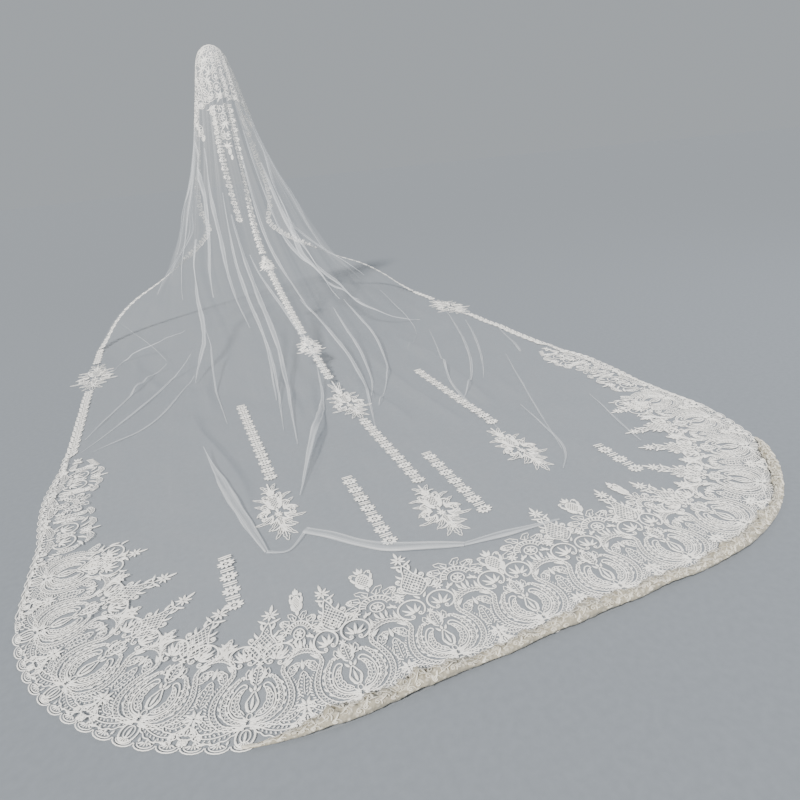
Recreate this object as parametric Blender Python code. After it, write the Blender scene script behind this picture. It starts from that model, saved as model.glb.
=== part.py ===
"""A one-tier cathedral veil of soft tulle with lace, in the hollow form it has when worn.

Metres, +Z up. The origin is where the head holds the veil, on the inside of the cloth at the
crown. The face looks along -Y and the train runs back along +Y on the floor.
"""

import math

import bpy
import numpy as np
from mathutils import Vector
from mathutils.geometry import delaunay_2d_cdt

# Driving dimensions
CROWN_HEIGHT = 1.700       # crown above the floor
HALF_WIDTH = 1.0875        # half the width of the cloth, laid flat on the floor
TRAIN_LENGTH = 3.660       # from below the crown to the middle of the hem
CORNER_RADIUS = 0.670      # each back corner of the train
REPEAT = 0.203             # from medallion to medallion, measured on the medallion line
MEDALLION_LINE = 0.090     # how far the middles of the medallions lie inside the hem
MEDALLIONS = 7             # on each side of the one at the centre back
TULLE_WALL = 0.0012
LACE_WALL = 0.0012
SEAM_GAP = 0.0005
SCALLOP = 0.006            # how far the lace edge stands past the tulle
SCALLOPS_PER_REPEAT = 5
ROLL_WIDTH = 0.034         # turned-up roll along the back hem
ROLL_HEIGHT = 0.026

# The cloth is a grid of columns across and rows down, and every piece of lace is laid out in it
COLUMNS = 75
FALL_ROWS = 13
TRAIN_ROWS = 9
ROWS = FALL_ROWS + TRAIN_ROWS
CENTRE = COLUMNS / 2
COLUMN_WIDTH = 2 * HALF_WIDTH / COLUMNS
EDGE_FLAT = 0.180          # width along each side of the train that lies flat
FLAT_FROM = 0.69           # share of the train after which the cloth lies flat for the hem lace

# Sections of the fall from the head to the floor. Each runs from the centre back round the side
# to the front edge. Heights are above the floor; spread is 0 where the cloth wraps round the
# wearer and 1 where it is drawn out over the floor.
SIDE_SHARE = 0.72          # share of the half width between the centre back and the side
LEVEL_NAMES = ("half_width", "back_y", "back_z", "side_y", "edge_x", "edge_y", "edge_z", "spread")
LEVELS = (
    (0.080, -0.045, 1.700, -0.040, 0.078, -0.060, 1.600, 0.00),
    (0.108, 0.050, 1.685, -0.015, 0.100, -0.085, 1.490, 0.00),
    (0.135, 0.115, 1.595, 0.000, 0.125, -0.110, 1.360, 0.00),
    (0.170, 0.140, 1.430, 0.000, 0.155, -0.135, 1.200, 0.00),
    (0.212, 0.162, 1.240, 0.000, 0.190, -0.160, 1.020, 0.00),
    (0.272, 0.225, 1.030, 0.000, 0.230, -0.185, 0.850, 0.00),
    (0.350, 0.335, 0.800, 0.000, 0.235, -0.210, 0.700, 0.00),
    (0.440, 0.500, 0.560, 0.010, 0.205, -0.220, 0.560, 0.05),
    (0.560, 0.720, 0.390, 0.020, 0.370, -0.180, 0.420, 0.20),
    (0.700, 1.020, 0.270, 0.020, 0.620, -0.060, 0.290, 0.50),
    (0.860, 1.340, 0.170, 0.060, 0.835, 0.050, 0.200, 0.85),
    (0.970, 1.640, 0.090, 0.150, 0.965, 0.150, 0.115, 1.00),
    (1.045, 1.910, 0.035, 0.290, 1.045, 0.290, 0.035, 1.00),
    (1.0875, 2.150, 0.000, 0.450, 1.0875, 0.450, 0.000, 1.00),
)

# Depth of the gathers at each of those sections, from trough to crest
GATHER_DEPTH = (0.000, 0.002, 0.005, 0.012, 0.020, 0.026, 0.032, 0.036, 0.034, 0.028, 0.020,
                0.012, 0.005, 0.000)
GATHERS = 15
PLAIN_EDGE = 3.5           # columns along each front edge where the gathers die out

# Long soft folds on the floor: both ends, half width, height
FOLD_NAMES = ("x0", "y0", "x1", "y1", "half_width", "height")
FOLDS = (
    (0.62, 1.95, 0.50, 2.85, 0.032, 0.045),
    (0.06, 1.90, 0.30, 2.80, 0.032, 0.040),
    (0.80, 1.10, 0.70, 2.10, 0.036, 0.022),
    (0.87, 0.70, 0.82, 1.80, 0.034, 0.020),
    (0.48, 1.40, 0.55, 2.00, 0.034, 0.026),
    (0.22, 1.75, 0.20, 2.50, 0.032, 0.024),
    (-0.10, 1.90, -0.14, 2.60, 0.030, 0.022),
    (-0.25, 1.80, -0.30, 2.70, 0.032, 0.030),
    (-0.52, 1.50, -0.50, 2.60, 0.034, 0.036),
    (-0.82, 1.30, -0.60, 2.60, 0.034, 0.028),
    (-0.87, 0.75, -0.84, 1.90, 0.034, 0.020),
)

# Rosette strips that lie on the train
STRIP_NAMES = ("name", "x", "y0", "y1")
STRIPS = (
    ("strip_inner_left", 0.190, 2.820, 3.225),
    ("strip_inner_right", -0.095, 2.810, 3.225),
    ("strip_long_left", 0.410, 1.980, 2.712),
    ("strip_long_right", -0.400, 2.050, 2.752),
    ("strip_outer_left", 0.600, 3.050, 3.270),
    ("strip_outer_right", -0.590, 3.070, 3.270),
)

# Leaf motifs down the centre strip: row of the cloth, width, length
CENTRE_MOTIF_NAMES = ("row", "width", "length")
CENTRE_MOTIFS = ((8.1, 0.110, 0.170), (11.0, 0.150, 0.220))

# Leaf motifs on the floor
FLOOR_MOTIF_NAMES = ("name", "x", "y", "width", "length")
FLOOR_MOTIFS = (
    ("motif_centre_3", 0.000, 2.230, 0.170, 0.400),
    ("motif_centre_4", 0.015, 3.130, 0.160, 0.290),
    ("motif_long_left", 0.430, 2.890, 0.150, 0.340),
    ("motif_long_right", -0.370, 2.940, 0.150, 0.360),
    ("motif_edge_left", 1.055, 1.070, 0.230, 0.480),
    ("motif_edge_right", -1.055, 1.070, 0.230, 0.480),
)

# Inner outline of the hem lace: repeats along the medallion line, height over the hem
CREST = (
    (0.00, 0.300), (0.25, 0.280), (0.50, 0.330), (0.75, 0.300), (1.00, 0.405), (1.25, 0.300),
    (1.50, 0.370), (1.75, 0.310), (2.00, 0.385), (2.25, 0.300), (2.50, 0.390), (2.75, 0.270),
    (3.00, 0.355), (3.25, 0.275), (3.50, 0.255), (3.75, 0.275), (4.00, 0.355), (4.25, 0.260),
    (4.50, 0.240), (4.75, 0.260), (5.00, 0.360), (5.25, 0.260), (5.50, 0.240), (5.75, 0.260),
    (6.00, 0.360), (6.25, 0.270), (6.50, 0.220), (6.75, 0.230), (7.00, 0.295), (7.35, 0.210),
    (7.75, 0.130), (8.10, 0.165), (8.60, 0.175), (9.20, 0.180), (9.80, 0.165), (10.35, 0.120),
    (10.80, 0.050),
)
EDGE_SWELL = (7.9, 10.4, 0.024)   # the lace stands out past the side edge between these repeats

# Gaps cut through one repeat: corners as offset from the medallion and height over the hem, in
# metres. Each is cut on both sides of the medallion.
GAPS = (
    ("crescent", ((0.010, 0.062), (0.034, 0.074), (0.046, 0.106), (0.038, 0.146), (0.025, 0.112))),
    ("hem leaf", ((0.028, 0.038), (0.060, 0.022), (0.078, 0.052), (0.056, 0.056))),
    ("spray", ((0.062, 0.082), (0.084, 0.100), (0.080, 0.150), (0.060, 0.158))),
    ("heart", ((0.010, 0.180), (0.042, 0.172), (0.046, 0.205), (0.022, 0.222))),
    ("crosshatch", ((0.008, 0.246), (0.030, 0.240), (0.010, 0.290))),
)
SIDE_GAPS = (8.35, 9.0, 9.65)     # gaps cut in the plain side lengths, in repeats

IVORY = (0.80, 0.80, 0.77, 1.0)
CREAM = (0.70, 0.68, 0.60, 1.0)
NET = (0.62, 0.66, 0.70, 1.0)


def start_empty():
    for item in list(bpy.data.objects):
        bpy.data.objects.remove(item, do_unlink=True)


def make_material(name, colour, roughness, alpha=1.0):
    material = bpy.data.materials.new(name)
    material.use_nodes = True
    shader = material.node_tree.nodes["Principled BSDF"]
    shader.inputs["Base Color"].default_value = colour
    shader.inputs["Roughness"].default_value = roughness
    shader.inputs["Alpha"].default_value = alpha
    return material


def between_rows(table, place):
    """A smooth curve through the rows of a table, read at a place counted in rows."""
    rows = np.asarray(table, dtype=float)
    last = len(rows) - 1
    low = min(int(place), last - 1)
    part = place - low
    before, here, there, after = rows[max(low - 1, 0)], rows[low], rows[low + 1], rows[min(low + 2, last)]
    leave = (there - before) / 2
    arrive = (after - here) / 2
    return ((2 * part**3 - 3 * part**2 + 1) * here + (part**3 - 2 * part**2 + part) * leave
            + (3 * part**2 - 2 * part**3) * there + (part**3 - part**2) * arrive)


def ease(value):
    value = min(max(value, 0.0), 1.0)
    return value * value * (3 - 2 * value)


def fall_point(across, level):
    """The cloth between head and floor; across runs from -1 to 1, level from 0 to 13."""
    row = dict(zip(LEVEL_NAMES, between_rows(LEVELS, level)))
    back = np.array((0.0, row["back_y"], row["back_z"]))
    edge = np.array((row["edge_x"], row["edge_y"], row["edge_z"]))
    side_z = back[2] + (edge[2] - back[2]) * SIDE_SHARE
    side = np.array((row["half_width"], row["side_y"], side_z))
    if abs(across) <= SIDE_SHARE:
        turn = math.pi / 2 * abs(across) / SIDE_SHARE
        wrapped = side + (back - side) * math.cos(turn)
        wrapped[0] = side[0] * math.sin(turn)
    else:
        turn = math.pi / 2 * (abs(across) - SIDE_SHARE) / (1 - SIDE_SHARE)
        wrapped = side + (edge - side) * math.sin(turn)
        wrapped[0] = edge[0] + (side[0] - edge[0]) * math.cos(turn)
    spread = edge + (back - edge) * math.cos(math.pi / 2 * abs(across))
    spread[0] = edge[0] * abs(across)
    place = wrapped + (spread - wrapped) * min(max(row["spread"], 0.0), 1.0)
    return np.array((math.copysign(place[0], across), place[1], max(place[2], 0.0)))


def hem_y(x):
    """The hem line of the tulle, straight at the back with rounded corners."""
    past = abs(x) - (HALF_WIDTH - CORNER_RADIUS)
    if past <= 0:
        return TRAIN_LENGTH
    return TRAIN_LENGTH - CORNER_RADIUS + math.sqrt(max(CORNER_RADIUS**2 - past**2, 0.0))


def train_point(across, part):
    """The cloth on the floor; part runs from 0 where it lands to 1 at the hem."""
    landing = fall_point(across, FALL_ROWS)
    return np.array((landing[0], landing[1] + (hem_y(landing[0]) - landing[1]) * part, 0.0))


def train_row(x, y):
    """The row of the cloth that lies at a place on the floor."""
    landing = fall_point(x / HALF_WIDTH, FALL_ROWS)[1]
    return FALL_ROWS + TRAIN_ROWS * (y - landing) / (hem_y(x) - landing)


def on_cloth(loop):
    """Columns and rows of the cloth for a loop of places on the floor."""
    return [(CENTRE + x / COLUMN_WIDTH, train_row(x, y)) for x, y in loop]


def inside_edge(x, y):
    """How far a place on the floor lies inside the edge of the cloth."""
    from_side = abs(x) - (HALF_WIDTH - CORNER_RADIUS)
    from_back = y - (TRAIN_LENGTH - CORNER_RADIUS)
    if from_side > 0 and from_back > 0:
        return CORNER_RADIUS - math.hypot(from_side, from_back)
    return min(HALF_WIDTH - abs(x), TRAIN_LENGTH - y)


def gather_lift(column, row):
    """Gathers that hang from the head, uneven in depth, and end where the cloth lands."""
    if row >= FALL_ROWS:
        return 0.0
    phase = (column - CENTRE) / (COLUMNS / GATHERS)
    uneven = 0.80 + 0.28 * math.sin(2.4 * round(phase) + 0.6)
    depth = between_rows([[value] for value in GATHER_DEPTH], row)[0]
    depth *= ease((CENTRE - abs(column - CENTRE)) / PLAIN_EDGE - 0.3)
    return max(depth, 0.0) * uneven * (0.5 + 0.5 * math.cos(2 * math.pi * phase))


def fold_lift(x, y, part):
    """Folds that lie on the floor, clear of the lace round the edge."""
    lift = 0.0
    for values in FOLDS:
        fold = dict(zip(FOLD_NAMES, values))
        run = np.array((fold["x1"] - fold["x0"], fold["y1"] - fold["y0"]))
        start = np.array((x - fold["x0"], y - fold["y0"]))
        place = float(start @ run / (run @ run))
        if not 0.0 < place < 1.0:
            continue
        off = abs(start[0] * run[1] - start[1] * run[0]) / math.hypot(*run)
        lift += fold["height"] * math.sin(math.pi * place)**0.7 * math.exp(-(off / fold["half_width"])**2)
    clear = 1.0 if y < 1.5 else ease((inside_edge(x, y) - 0.40) / 0.10)
    clear *= ease((inside_edge(x, y) - EDGE_FLAT) / 0.06)
    clear *= 1.0 if part < FLAT_FROM - 0.02 else 0.0
    return lift * clear


def cloth_grid():
    """Inner points of the tulle and the directions that face away from the wearer."""
    points = np.zeros((COLUMNS + 1, ROWS + 1, 3))
    for column in range(COLUMNS + 1):
        across = (column - CENTRE) / CENTRE
        for row in range(ROWS + 1):
            if row <= FALL_ROWS:
                points[column, row] = fall_point(across, row)
            else:
                points[column, row] = train_point(across, train_part(row))
    points = points + facing(points) * gather_field()[..., None]
    for column in range(COLUMNS + 1):
        for row in range(FALL_ROWS, ROWS + 1):
            x, y, z = points[column, row]
            points[column, row, 2] += fold_lift(x, y, train_part(row))
    points[..., 2] = np.maximum(points[..., 2], 0.0)
    return points, facing(points)


def train_part(row):
    return (row - FALL_ROWS) / TRAIN_ROWS


def gather_field():
    return np.array([[gather_lift(column, row) for row in range(ROWS + 1)] for column in range(COLUMNS + 1)])


def facing(points):
    """Unit directions out of the cloth at each grid point, averaged over its triangles."""
    total = np.zeros_like(points)
    low, right = points[:-1, :-1], points[1:, :-1]
    far, up = points[1:, 1:], points[:-1, 1:]
    first = np.cross(far - low, right - low)
    second = np.cross(up - low, far - low)
    total[:-1, :-1] += first + second
    total[1:, :-1] += first
    total[1:, 1:] += first + second
    total[:-1, 1:] += second
    total = -total if total[int(CENTRE), ROWS, 2] < 0 else total
    return total / np.linalg.norm(total, axis=2, keepdims=True)


def solid(name, points, outward, triangles, low, high, material):
    """A closed wall between two distances from the inner points of the cloth."""
    points = np.asarray(points)
    outward = np.asarray(outward)
    count = len(points)
    shift = np.array((0.0, 0.0, -CROWN_HEIGHT))
    places = np.vstack((points + outward * low + shift, points + outward * high + shift))
    first = triangles[0]
    across = np.cross(points[first[1]] - points[first[0]], points[first[2]] - points[first[0]])
    if across @ outward[first[0]] < 0:
        triangles = [(a, c, b) for a, b, c in triangles]
    faces = [(a + count, b + count, c + count) for a, b, c in triangles]
    faces += [(a, c, b) for a, b, c in triangles]
    edges = {(face[i], face[(i + 1) % 3]) for face in triangles for i in range(3)}
    for a, b in edges:
        if (b, a) not in edges:
            faces.append((a, b, b + count))
            faces.append((a, b + count, a + count))
    mesh = bpy.data.meshes.new(name)
    mesh.from_pydata([tuple(place) for place in places], [], faces)
    mesh.materials.append(material)
    mesh.validate()
    item = bpy.data.objects.new(name, mesh)
    bpy.context.scene.collection.objects.link(item)
    mesh.shade_smooth()
    mesh.set_sharp_from_angle(angle=math.radians(40))
    return item


def used_only(points, outward, triangles):
    """Drops the points that no triangle uses."""
    used = sorted({corner for face in triangles for corner in face})
    place = {corner: index for index, corner in enumerate(used)}
    kept = [tuple(place[corner] for corner in face) for face in triangles]
    return [points[corner] for corner in used], [outward[corner] for corner in used], kept


def inside(outline, x, y):
    hit = False
    for (x0, y0), (x1, y1) in zip(outline, outline[1:] + outline[:1]):
        if (y0 > y) != (y1 > y) and x < x0 + (x1 - x0) * (y - y0) / (y1 - y0):
            hit = not hit
    return hit


def triangulate(outline, gaps, extra_lines, tolerance):
    """Triangles of a flat outline less its gaps, split along any extra lines."""
    places = []
    edges = []
    for loop in [outline] + gaps:
        start = len(places)
        places += [Vector(place) for place in loop]
        edges += [(start + i, start + (i + 1) % len(loop)) for i in range(len(loop))]
    for line in extra_lines:
        places += [Vector(line[0]), Vector(line[1])]
        edges.append((len(places) - 2, len(places) - 1))
    places, _, faces = delaunay_2d_cdt(places, edges, [], 0, tolerance)[:3]
    kept = []
    for face in faces:
        x = sum(places[corner].x for corner in face) / 3
        y = sum(places[corner].y for corner in face) / 3
        if inside(outline, x, y) and not any(inside(gap, x, y) for gap in gaps):
            kept.append(tuple(face))
    return places, kept


def grid_lines(outline):
    """The columns, rows and diagonals of the cloth under an outline."""
    columns = [place[0] for place in outline]
    rows = [place[1] for place in outline]
    c0, c1 = max(math.floor(min(columns)), 0), min(math.ceil(max(columns)), COLUMNS)
    r0, r1 = max(math.floor(min(rows)), 0), min(math.ceil(max(rows)), ROWS)
    lines = [((c, r0), (c, r1)) for c in range(c0, c1 + 1)]
    lines += [((c0, r), (c1, r)) for r in range(r0, r1 + 1)]
    lines += [((c, r), (c + 1, r + 1)) for c in range(c0, c1) for r in range(r0, r1)]
    return lines


class Cloth:
    """The tulle's grid, and what is laid on it."""

    def __init__(self):
        self.points, self.outward = cloth_grid()

    def read(self, grid, column, row):
        c = min(max(int(column + 1e-9), 0), COLUMNS - 1)
        r = min(max(int(row + 1e-9), 0), ROWS - 1)
        a, b = column - c, row - r
        low, far = grid[c, r], grid[c + 1, r + 1]
        if a >= b:
            return low + a * (grid[c + 1, r] - low) + b * (far - grid[c + 1, r])
        return low + b * (grid[c, r + 1] - low) + a * (far - grid[c, r + 1])

    def lay(self, name, outline, gaps, material):
        """Lace drawn in columns and rows, laid on the tulle wherever it hangs or lies."""
        places, faces = triangulate(outline, gaps, grid_lines(outline), 1e-4)
        points = [self.read(self.points, place.x, place.y) for place in places]
        outward = [self.read(self.outward, place.x, place.y) for place in places]
        low = TULLE_WALL + SEAM_GAP
        return solid(name, *used_only(points, outward, faces), low, low + LACE_WALL, material)

    def lay_flat(self, name, outline, gaps, material):
        """Lace drawn in metres, laid where the tulle is flat on the floor."""
        places, faces = triangulate(outline, gaps, [], 1e-5)
        points = [np.array((place.x, place.y, 0.0)) for place in places]
        outward = [np.array((0.0, 0.0, 1.0))] * len(points)
        low = TULLE_WALL + SEAM_GAP
        return solid(name, *used_only(points, outward, faces), low, low + LACE_WALL, material)

    def row_length(self, column, row):
        return float(np.linalg.norm(self.read(self.points, column, row + 0.5)
                                    - self.read(self.points, column, row - 0.5)))

    def column_width(self, column, row):
        return float(np.linalg.norm(self.read(self.points, column + 1, row)
                                    - self.read(self.points, column - 1, row))) / 2


def make_tulle(cloth, material):
    """The single sheet of net, from the crown to the hem."""
    def index(column, row):
        return column * (ROWS + 1) + row
    triangles = []
    for c in range(COLUMNS):
        for r in range(ROWS):
            triangles.append((index(c, r), index(c + 1, r), index(c + 1, r + 1)))
            triangles.append((index(c, r), index(c + 1, r + 1), index(c, r + 1)))
    solid("veil_tulle", cloth.points.reshape(-1, 3), cloth.outward.reshape(-1, 3), triangles,
          0.0, TULLE_WALL, material)


CAP_ROWS = 3.45            # rows of the cloth that the crown lace covers
CAP_SCALLOP = 0.35         # depth of its scalloped lower edge, in rows
CAP_LOBES = 11


def make_crown_lace(cloth, material):
    """Lace over the head and down to a scalloped edge, with its largest gaps cut."""
    margin = 0.2
    outline = [(margin, 0.05), (COLUMNS - margin, 0.05)]
    steps = 3 * CAP_LOBES
    for step in range(steps + 1):
        column = COLUMNS - margin - (COLUMNS - 2 * margin) * step / steps
        lobe = abs(math.sin(math.pi * step / 3))
        outline.append((column, CAP_ROWS - CAP_SCALLOP * (1 - lobe)))
    gaps = []
    for lobe in range(CAP_LOBES):
        middle = COLUMNS * (lobe + 0.5) / CAP_LOBES
        gaps.append([(middle - 1.2, 2.55), (middle, 2.30), (middle + 1.2, 2.55), (middle, 2.86)])
        if lobe % 2 == 1:
            gaps.append([(middle - 1.4, 1.50), (middle, 1.25), (middle + 1.4, 1.50), (middle, 1.80)])
    cloth.lay("crown_lace", outline, gaps, material)


# Leaves of a motif down one side: turn from its upper end in degrees, share of its half size
LEAVES = ((0, 1.00), (36, 0.76), (78, 1.00), (128, 0.84), (180, 1.00))
NOTCH = 0.50               # reach of the notches between the leaves


def leaf_outline(width, length):
    """A cluster of pointed leaves, one at each end and three down each side."""
    half = []
    for (turn, reach), (next_turn, _) in zip(LEAVES, LEAVES[1:]):
        half += [(turn, reach), ((turn + next_turn) / 2, NOTCH)]
    around = half + [LEAVES[-1]] + [(-turn, reach) for turn, reach in half[:0:-1]]
    outline = []
    for turn, reach in around:
        turn = math.radians(turn)
        outline.append((width / 2 * reach * math.sin(turn), length / 2 * reach * math.cos(turn)))
    return outline


def leaf_gap(width, length):
    """The two gaps beside the vein of a leaf motif."""
    gaps = []
    for side in (-1, 1):
        gap = [(0.05, -0.10), (0.14, -0.04), (0.14, 0.06), (0.05, 0.13)]
        gaps.append([(side * x * width, y * length) for x, y in gap])
    return gaps


def ribbon(points, half_width):
    """Outline of a strip along a run of columns and rows."""
    left = [(column - half_width, row) for column, row in points]
    right = [(column + half_width, row) for column, row in points]
    return left + right[::-1]


def motif_shape(middle, width, length, scale):
    """A leaf motif and its gaps round a middle, with a scale for each direction."""
    def place(loop):
        return [(middle[0] + x / scale[0], middle[1] + y / scale[1]) for x, y in loop]
    return place(leaf_outline(width, length)), [place(gap) for gap in leaf_gap(width, length)]


def centre_column(row):
    """The centre strip starts beside the middle of the head and comes to the middle of the train."""
    return CENTRE - 3.0 * ease(1 - (row - CAP_ROWS) / 4.0)


def make_centre_strip(cloth, material):
    """The rosette strip down the centre back, in the runs between its leaf motifs."""
    stops = [CAP_ROWS + 0.06]
    for number, values in enumerate(CENTRE_MOTIFS, 1):
        motif = dict(zip(CENTRE_MOTIF_NAMES, values))
        middle = (centre_column(motif["row"]), motif["row"])
        scale = (cloth.column_width(*middle), cloth.row_length(*middle))
        shape, gaps = motif_shape(middle, motif["width"], motif["length"], scale)
        cloth.lay(f"motif_centre_{number}", shape, gaps, material)
        reach = motif["length"] / 2 / scale[1] + 0.01
        stops += [motif["row"] - reach, motif["row"] + reach]
    for name, x, y, width, length in FLOOR_MOTIFS:
        if name.startswith("motif_centre"):
            stops += [train_row(x, y - length / 2) - 0.01, train_row(x, y + length / 2) + 0.01]
    for number, (top, bottom) in enumerate(zip(stops[0::2], stops[1::2]), 1):
        count = max(2, round(bottom - top) + 1)
        run = [top + (bottom - top) * i / (count - 1) for i in range(count)]
        outline = ribbon([(centre_column(row), row) for row in run], 0.5)
        cloth.lay(f"strip_centre_{number}", outline, [], material)


def make_crown_strip(cloth, material):
    """The short free strip that leaves the crown lace beside the centre strip."""
    run = [(CENTRE + 6.2, CAP_ROWS + 0.06), (CENTRE + 5.2, 4.6), (CENTRE + 3.9, 5.8), (CENTRE + 3.0, 6.7)]
    cloth.lay("strip_crown", ribbon(run, 0.7), [], material)


def make_train_strips(cloth, material):
    for values in STRIPS:
        strip = dict(zip(STRIP_NAMES, values))
        low, high = strip["x"] - COLUMN_WIDTH / 2, strip["x"] + COLUMN_WIDTH / 2
        top, bottom = strip["y0"], strip["y1"]
        outline = on_cloth([(low, top), (low, bottom), (high, bottom), (high, top)])
        cloth.lay(strip["name"], outline, [], material)


def make_floor_motifs(cloth, material):
    """Leaf motifs on the train; those on the front edges stand out past the tulle."""
    for name, x, y, width, length in FLOOR_MOTIFS:
        shape, gaps = motif_shape((x, y), width, length, (1, 1))
        if name.startswith("motif_edge"):
            cloth.lay_flat(name, shape, gaps, material)
        else:
            cloth.lay(name, on_cloth(shape), [on_cloth(gap) for gap in gaps], material)


def make_edge_trims(cloth, material):
    """The rosette strip along each front edge, from the crown lace to the hem lace."""
    motif = dict(zip(FLOOR_MOTIF_NAMES, FLOOR_MOTIFS[-1]))
    top = motif["y"] - motif["length"] / 2 - 0.006
    bottom = motif["y"] + motif["length"] / 2 + 0.006
    end = hem_place(CREST[-1][0] * REPEAT, 0.0)[1] - 0.007
    for side, label in ((1, "left"), (-1, "right")):
        outer, inner = side * HALF_WIDTH, side * (HALF_WIDTH - COLUMN_WIDTH)
        (outer_column, outer_row), (inner_column, inner_row) = on_cloth([(outer, top), (inner, top)])
        start = CAP_ROWS + 0.06
        outline = [(outer_column, start), (outer_column, outer_row), (inner_column, inner_row),
                   (inner_column, start)]
        cloth.lay(f"trim_edge_{label}_1", outline, [], material)
        outline = on_cloth([(outer, bottom), (outer, end), (inner, end), (inner, bottom)])
        cloth.lay(f"trim_edge_{label}_2", outline, [], material)


def hem_place(along, height):
    """A place on the floor, by its run along the medallion line and its height over the hem."""
    straight = HALF_WIDTH - CORNER_RADIUS
    radius = CORNER_RADIUS - MEDALLION_LINE
    run = abs(along)
    if run <= straight:
        x, y, out_x, out_y = run, TRAIN_LENGTH, 0.0, 1.0
    elif run <= straight + radius * math.pi / 2:
        turn = (run - straight) / radius
        out_x, out_y = math.sin(turn), math.cos(turn)
        x = straight + CORNER_RADIUS * out_x
        y = TRAIN_LENGTH - CORNER_RADIUS + CORNER_RADIUS * out_y
    else:
        past = run - straight - radius * math.pi / 2
        x, y, out_x, out_y = HALF_WIDTH, TRAIN_LENGTH - CORNER_RADIUS - past, 1.0, 0.0
    return math.copysign(x - height * out_x, along if along else 1.0), y - height * out_y


def hem_edge(repeats, step):
    """How far the lace's scalloped edge stands past the tulle."""
    low, high, swell = EDGE_SWELL
    bulge = swell * ease(math.sin(math.pi * (abs(repeats) - low) / (high - low))) if low < abs(repeats) < high else 0
    return -(SCALLOP if step % 2 else -0.001) - bulge


def make_hem_lace(cloth, material):
    """The deep lace round the hem: scalloped edge, medallion repeats, crest and cut gaps."""
    end = CREST[-1][0]
    steps = 2 * round(end * 2 * SCALLOPS_PER_REPEAT)
    edge = []
    for step in range(steps + 1):
        repeats = -end + 2 * end * step / steps
        edge.append(hem_place(repeats * REPEAT, hem_edge(repeats, step)))
    crest = [(-repeats, height) for repeats, height in CREST[:0:-1]] + list(CREST)
    inner = [hem_place(repeats * REPEAT, height) for repeats, height in crest]
    gaps = []
    for medallion in range(-MEDALLIONS, MEDALLIONS + 1):
        for name, corners in GAPS:
            if name == "crosshatch" and abs(medallion) in (0, MEDALLIONS):
                continue
            for side in (-1, 1):
                places = [(medallion * REPEAT + side * offset, height) for offset, height in corners]
                gaps.append([hem_place(*place) for place in places])
    for repeats in SIDE_GAPS:
        for side in (-1, 1):
            middle = side * repeats * REPEAT
            for low, high in ((0.020, 0.075), (0.090, 0.145)):
                corners = ((-0.035, (low + high) / 2), (0.0, low), (0.035, (low + high) / 2), (0.0, high))
                gaps.append([hem_place(middle + offset, height) for offset, height in corners])
    cloth.lay_flat("hem_lace", edge + inner[::-1], gaps, material)


ROLL_FROM = -5.2 * REPEAT  # the roll runs from here to ROLL_TO along the hem
ROLL_TO = 3.0 * REPEAT
ROLL_STEPS = 56


def make_hem_roll(material):
    """The edge of the back hem turned up on itself in a soft uneven roll."""
    base = TULLE_WALL + SEAM_GAP + LACE_WALL + SEAM_GAP
    shape = ((0.0, 0.0), (1.0, 0.0), (1.08, 0.45), (0.78, 0.90), (0.30, 1.0), (-0.06, 0.5))
    points = []
    for step in range(ROLL_STEPS + 1):
        place = step / ROLL_STEPS
        along = ROLL_FROM + (ROLL_TO - ROLL_FROM) * place
        swell = ease(min(place, 1 - place) * 8) * 0.75 + 0.25
        swell *= 1 + 0.16 * math.sin(9.1 * step) + 0.10 * math.sin(3.7 * step + 1)
        for across, up in shape:
            x, y = hem_place(along, ROLL_WIDTH * across * swell - 0.004)
            points.append((x, y, base + ROLL_HEIGHT * up * swell - CROWN_HEIGHT))
    sides = len(shape)
    faces = [tuple(range(sides)), tuple(ROLL_STEPS * sides + i for i in reversed(range(sides)))]
    for step in range(ROLL_STEPS):
        for i in range(sides):
            a, b = step * sides + i, step * sides + (i + 1) % sides
            faces.append((a, a + sides, b + sides, b))
    mesh = bpy.data.meshes.new("hem_roll")
    mesh.from_pydata(points, [], faces)
    mesh.materials.append(material)
    mesh.validate()
    item = bpy.data.objects.new("hem_roll", mesh)
    bpy.context.scene.collection.objects.link(item)
    mesh.shade_smooth()


def main():
    start_empty()
    cloth = Cloth()
    lace = make_material("ivory_lace", IVORY, 0.6)
    make_tulle(cloth, make_material("soft_tulle", NET, 0.5, alpha=0.4))
    make_crown_lace(cloth, lace)
    make_centre_strip(cloth, lace)
    make_crown_strip(cloth, lace)
    make_train_strips(cloth, lace)
    make_floor_motifs(cloth, lace)
    make_edge_trims(cloth, lace)
    make_hem_lace(cloth, lace)
    make_hem_roll(make_material("rolled_lace_edge", CREAM, 0.8))


main()
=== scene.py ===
"""The look of a one-tier cathedral veil: soft tulle, corded lace, rosette strips and a rolled hem."""

import math

import bpy
import numpy as np
from mathutils import Matrix, Vector


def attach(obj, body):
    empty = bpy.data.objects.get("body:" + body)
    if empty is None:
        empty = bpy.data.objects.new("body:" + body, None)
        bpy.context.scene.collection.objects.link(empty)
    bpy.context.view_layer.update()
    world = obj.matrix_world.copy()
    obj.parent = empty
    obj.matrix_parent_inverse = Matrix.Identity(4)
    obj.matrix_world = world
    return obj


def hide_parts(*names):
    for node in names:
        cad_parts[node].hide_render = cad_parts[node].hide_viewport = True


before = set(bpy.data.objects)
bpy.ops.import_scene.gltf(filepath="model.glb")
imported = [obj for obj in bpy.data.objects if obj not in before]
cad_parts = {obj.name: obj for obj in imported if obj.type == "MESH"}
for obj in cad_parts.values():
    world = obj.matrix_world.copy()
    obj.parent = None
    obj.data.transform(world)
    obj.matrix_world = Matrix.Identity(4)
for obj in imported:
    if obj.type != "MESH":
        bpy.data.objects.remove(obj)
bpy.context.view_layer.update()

# Sizes in metres, the same as those of the solids
CROWN_HEIGHT = 1.700
HALF_WIDTH = 1.0875
TRAIN_LENGTH = 3.660
CORNER_RADIUS = 0.670
REPEAT = 0.203
MEDALLION_LINE = 0.090
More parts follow.
